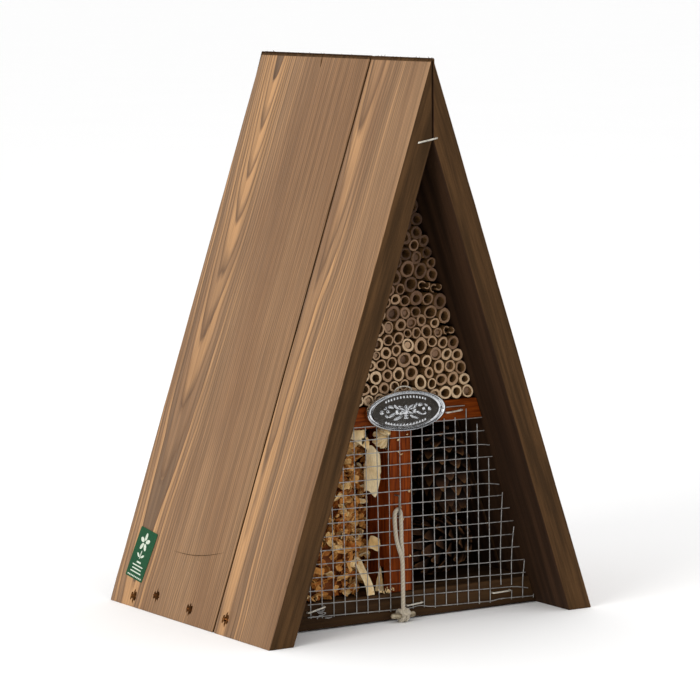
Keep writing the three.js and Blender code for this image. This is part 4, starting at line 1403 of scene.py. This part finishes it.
def loose_shavings(rng):
    """Pale pieces, a star-like cluster under the shelf, and crumbs on the boards."""
    shape = Shape()
    for centre, axis, radius, arc, width, tone in PALE_PIECES:
        add_curl(shape, rng, centre, axis, radius, arc, width, tone, 0.3, 0.2, facing=TO_FRONT)
    for k in range(STAR_RAYS):
        a = TAU * k / STAR_RAYS + rng.uniform(-0.15, 0.15)
        reach = rng.uniform(3.0, 5.5)
        centre = (STAR[0] + reach * math.cos(a), FACE + 1.5 + rng.uniform(-1, 2.5),
                  STAR[1] + 0.8 * reach * math.sin(a))
        add_curl(shape, rng, centre, (math.sin(a), 0.3, -math.cos(a)), 6, 1.0, 2.4, 0.93, 0.25, 1.2,
                 facing=TO_FRONT)
    for _ in range(26):
        x = rng.uniform(-17, -5)
        centre = (x, FACE + rng.uniform(-1.5, 1.5), BASE_HIGH.z + rng.uniform(0.6, 2.6))
        add_bit(shape, rng, centre, 1.5)
    for x, z in DIVIDER_CRUMBS:
        add_bit(shape, rng, (x, FACE - 0.9, z), 1.7)
    for _ in range(9):
        add_bit(shape, rng, (rng.uniform(-62, -50), FACE - 0.8, rng.uniform(13, 34)), 1.8)
    return shape


def make_shavings():
    material = shaving_wood()
    rng = np.random.default_rng(17)
    piece(shavings_heart(), "shavings_heart", material, ["wood_shavings"])
    ride_along(shavings_heap(rng), "shavings_heap", material)
    ride_along(loose_shavings(rng), "loose_shavings", material)


def add_bit(shape, rng, centre, size):
    """A crumb of shaving caught in the wire."""
    path = [np.array(centre) + rng.normal(0, size * 0.35, 3) * k for k in (-1, 0, 1)]
    radius = [0.12, rng.uniform(0.25, 0.6), 0.12]
    shape.add(*tube(path, radius, 5), 0.92)


# ---- pine cones ----------------------------------------------------------------------------------
# Radius, stalk end and tip of each cone.
CONES = [
    (14.3, (48, FACE + 19, 31), (9, FACE + 16.5, 28.5)),
    (13.2, (33, FACE + 20, 86), (39, FACE + 18, 47)),
    (14.0, (41, FACE + 52, 58.5), (9, FACE + 48, 57.6)),
    (14.0, (12, FACE + 52, 28), (52, FACE + 56, 28.6)),
]
GOLDEN_ANGLE = math.pi * (3 - math.sqrt(5))
SCALES = 96
SCALE_STEPS = 8                               # rows of points along a scale
SCALE_ACROSS = 6                              # points across it


def cone_radius(share, radius):
    return radius * math.sin(math.pi * min(max(share, 0.02), 0.98) ** 0.75) ** 0.7


def cone_scale(length, width, rise, rng):
    """One scale lying along X from the cone's axis, its tip thick and turned up."""
    u = np.linspace(0, 1, SCALE_STEPS)[:, None]
    v = np.linspace(-1, 1, SCALE_ACROSS)[None, :]
    half = width / 2 * (0.3 + 0.7 * np.sin(np.minimum(u * 1.25, 1) * math.pi / 2))
    half = half * np.sqrt(np.clip(1 - np.clip((u - 0.78) / 0.235, 0, 1) ** 2, 0.03, 1))
    bend = rise * u + 0.35 * u ** 3
    x = length * u * np.cos(bend)
    z = length * u * np.sin(bend)
    thick = (0.45 + 2.0 * u ** 2) * (1 - 0.5 * v ** 2)
    thick = thick * np.sqrt(np.clip(1.04 - np.clip((u - 0.85) / 0.15, 0, 1) ** 2, 0, 1))
    knob = 0.55 * np.exp(-(((u - 0.9) / 0.07) ** 2) - (v / 0.35) ** 2)
    droop = -0.9 * v ** 2 * u
    flat = np.ones_like(v)
    top = np.stack([x * flat, half * v, z + thick / 2 + droop + knob], 2)
    low = np.stack([x * flat, half * v, z - thick / 2 + droop], 2)[:, ::-1]
    # Tone rises from the axis to the tip: the low, near black part is painted shade between the scales.
    tone = 0.1 + 0.9 * u ** 2.4 * np.ones((1, SCALE_ACROSS * 2)) + rng.uniform(-0.08, 0.08)
    return np.concatenate([top, low], 1).reshape(-1, 3), np.clip(tone, 0, 1).reshape(-1)


def make_cones():
    material = cone_wood()
    rng = np.random.default_rng(5)
    faces = closed_grid(SCALE_STEPS, SCALE_ACROSS * 2)
    for index, (radius, stalk, tip) in enumerate(CONES):
        length = (Vector(tip) - Vector(stalk)).length
        shape = Shape()
        heart = [(0, 0, length * k / 9) for k in range(10)]
        # The heart's low tone is painted shade.
        shape.add(*tube(heart, [0.42 * cone_radius(k / 9, radius) + 0.4 for k in range(10)], 12), 0.05)
        for k in range(SCALES):
            share = 0.03 + 0.93 * (k / (SCALES - 1)) ** 0.9
            reach = cone_radius(share, radius) * 0.98
            rise = math.radians(-22 + 92 * share ** 1.3)
            span = reach / max(math.cos(min(rise + 0.3, 1.25)), 0.35)
            span = min(span, reach * 1.5, (1 - share) * length + 4)
            points, tones = cone_scale(span, 3.2 + 3.4 * math.sin(math.pi * share ** 0.8), rise, rng)
            a = k * GOLDEN_ANGLE
            c, d = math.cos(a), math.sin(a)
            turned = points @ np.array([[c, d, 0], [-d, c, 0], [0, 0, 1]])
            shape.add(turned + np.array([0, 0, share * length]), faces, tones)
        obj = object_from(shape, "cone")
        obj.rotation_mode = "QUATERNION"
        obj.rotation_quaternion = (Vector(tip) - Vector(stalk)).to_track_quat("Z", "Y")
        obj.location = Vector(stalk) * MM
        show(obj, f"scaly_cone_{index + 1}", [material], [f"pine_cone_{index + 1}"])


# ---- studio --------------------------------------------------------------------------------------
def make_floor():
    finish = Finish("pale_floor", 0.85)
    grain = finish.noise((0.004, 0.004, 0.004), detail=2)
    material = finish.done(finish.mix(grain, (0.975, 0.975, 0.975, 1), (0.99, 0.99, 0.99, 1)))
    mesh = bpy.data.meshes.new("floor")
    far = 60
    mesh.from_pydata([(-far, -far, 0), (far, -far, 0), (far, far, 0), (-far, far, 0)], [], [(0, 1, 2, 3)])
    mesh.materials.append(material)
    put_in_scene("floor", mesh)


def soft_light(name, place, size, power, tint):
    """A square soft box aimed at the middle of the hotel; place and size are in metres."""
    data = bpy.data.lights.new(name, "AREA")
    data.size = size
    data.energy = power
    data.color = tint
    lamp = put_in_scene(name, data)
    lamp.location = place
    lamp.rotation_mode = "QUATERNION"
    lamp.rotation_quaternion = (Vector((0, 0, 0.12)) - Vector(place)).to_track_quat("-Z", "Y")


def black_card(direction, near, far, wide, tall):
    """A bent dark card that only reflections show: it lies in front of the hotel from near to far in this
    direction and then stands up. All in metres."""
    finish = Finish("black_card", 0.9)
    mottle = finish.noise((0.01,) * 3)
    material = finish.done(finish.mix(mottle, (0.035, 0.03, 0.024, 1), (0.06, 0.05, 0.04, 1)))
    mesh = bpy.data.meshes.new("black_card")
    half = wide / 2
    rows = [(near, 0), (far, 0), (far, tall)]
    points = [(x, -y, z) for y, z in rows for x in (-half, half)]
    mesh.from_pydata(points, [], grid_faces(3, 2))
    mesh.materials.append(material)
    card = put_in_scene("black_card", mesh)
    card.location.z = 0.003
    card.rotation_euler.z = math.radians(direction)
    card.visible_camera = card.visible_diffuse = card.visible_shadow = False


def make_studio():
    world = bpy.data.worlds.new("studio")
    bpy.context.scene.world = world
    world.use_nodes = True
    world.node_tree.nodes["Background"].inputs["Color"].default_value = (1, 1, 1, 1)
    world.node_tree.nodes["Background"].inputs["Strength"].default_value = 1.0
    soft_light("key", (-2.6, -0.9, 1.3), 1.3, 40, (1, 0.98, 0.95))
    black_card(34, 0.3, 0.72, 1.6, 0.5)
    bpy.context.scene.view_settings.view_transform = "Standard"


make_roof()
make_scratches()
make_ridge_fuzz()
make_boards()
make_staples()
make_mesh()
make_plaque()
make_label()
make_reeds()
make_shavings()
make_cones()
make_floor()
make_studio()
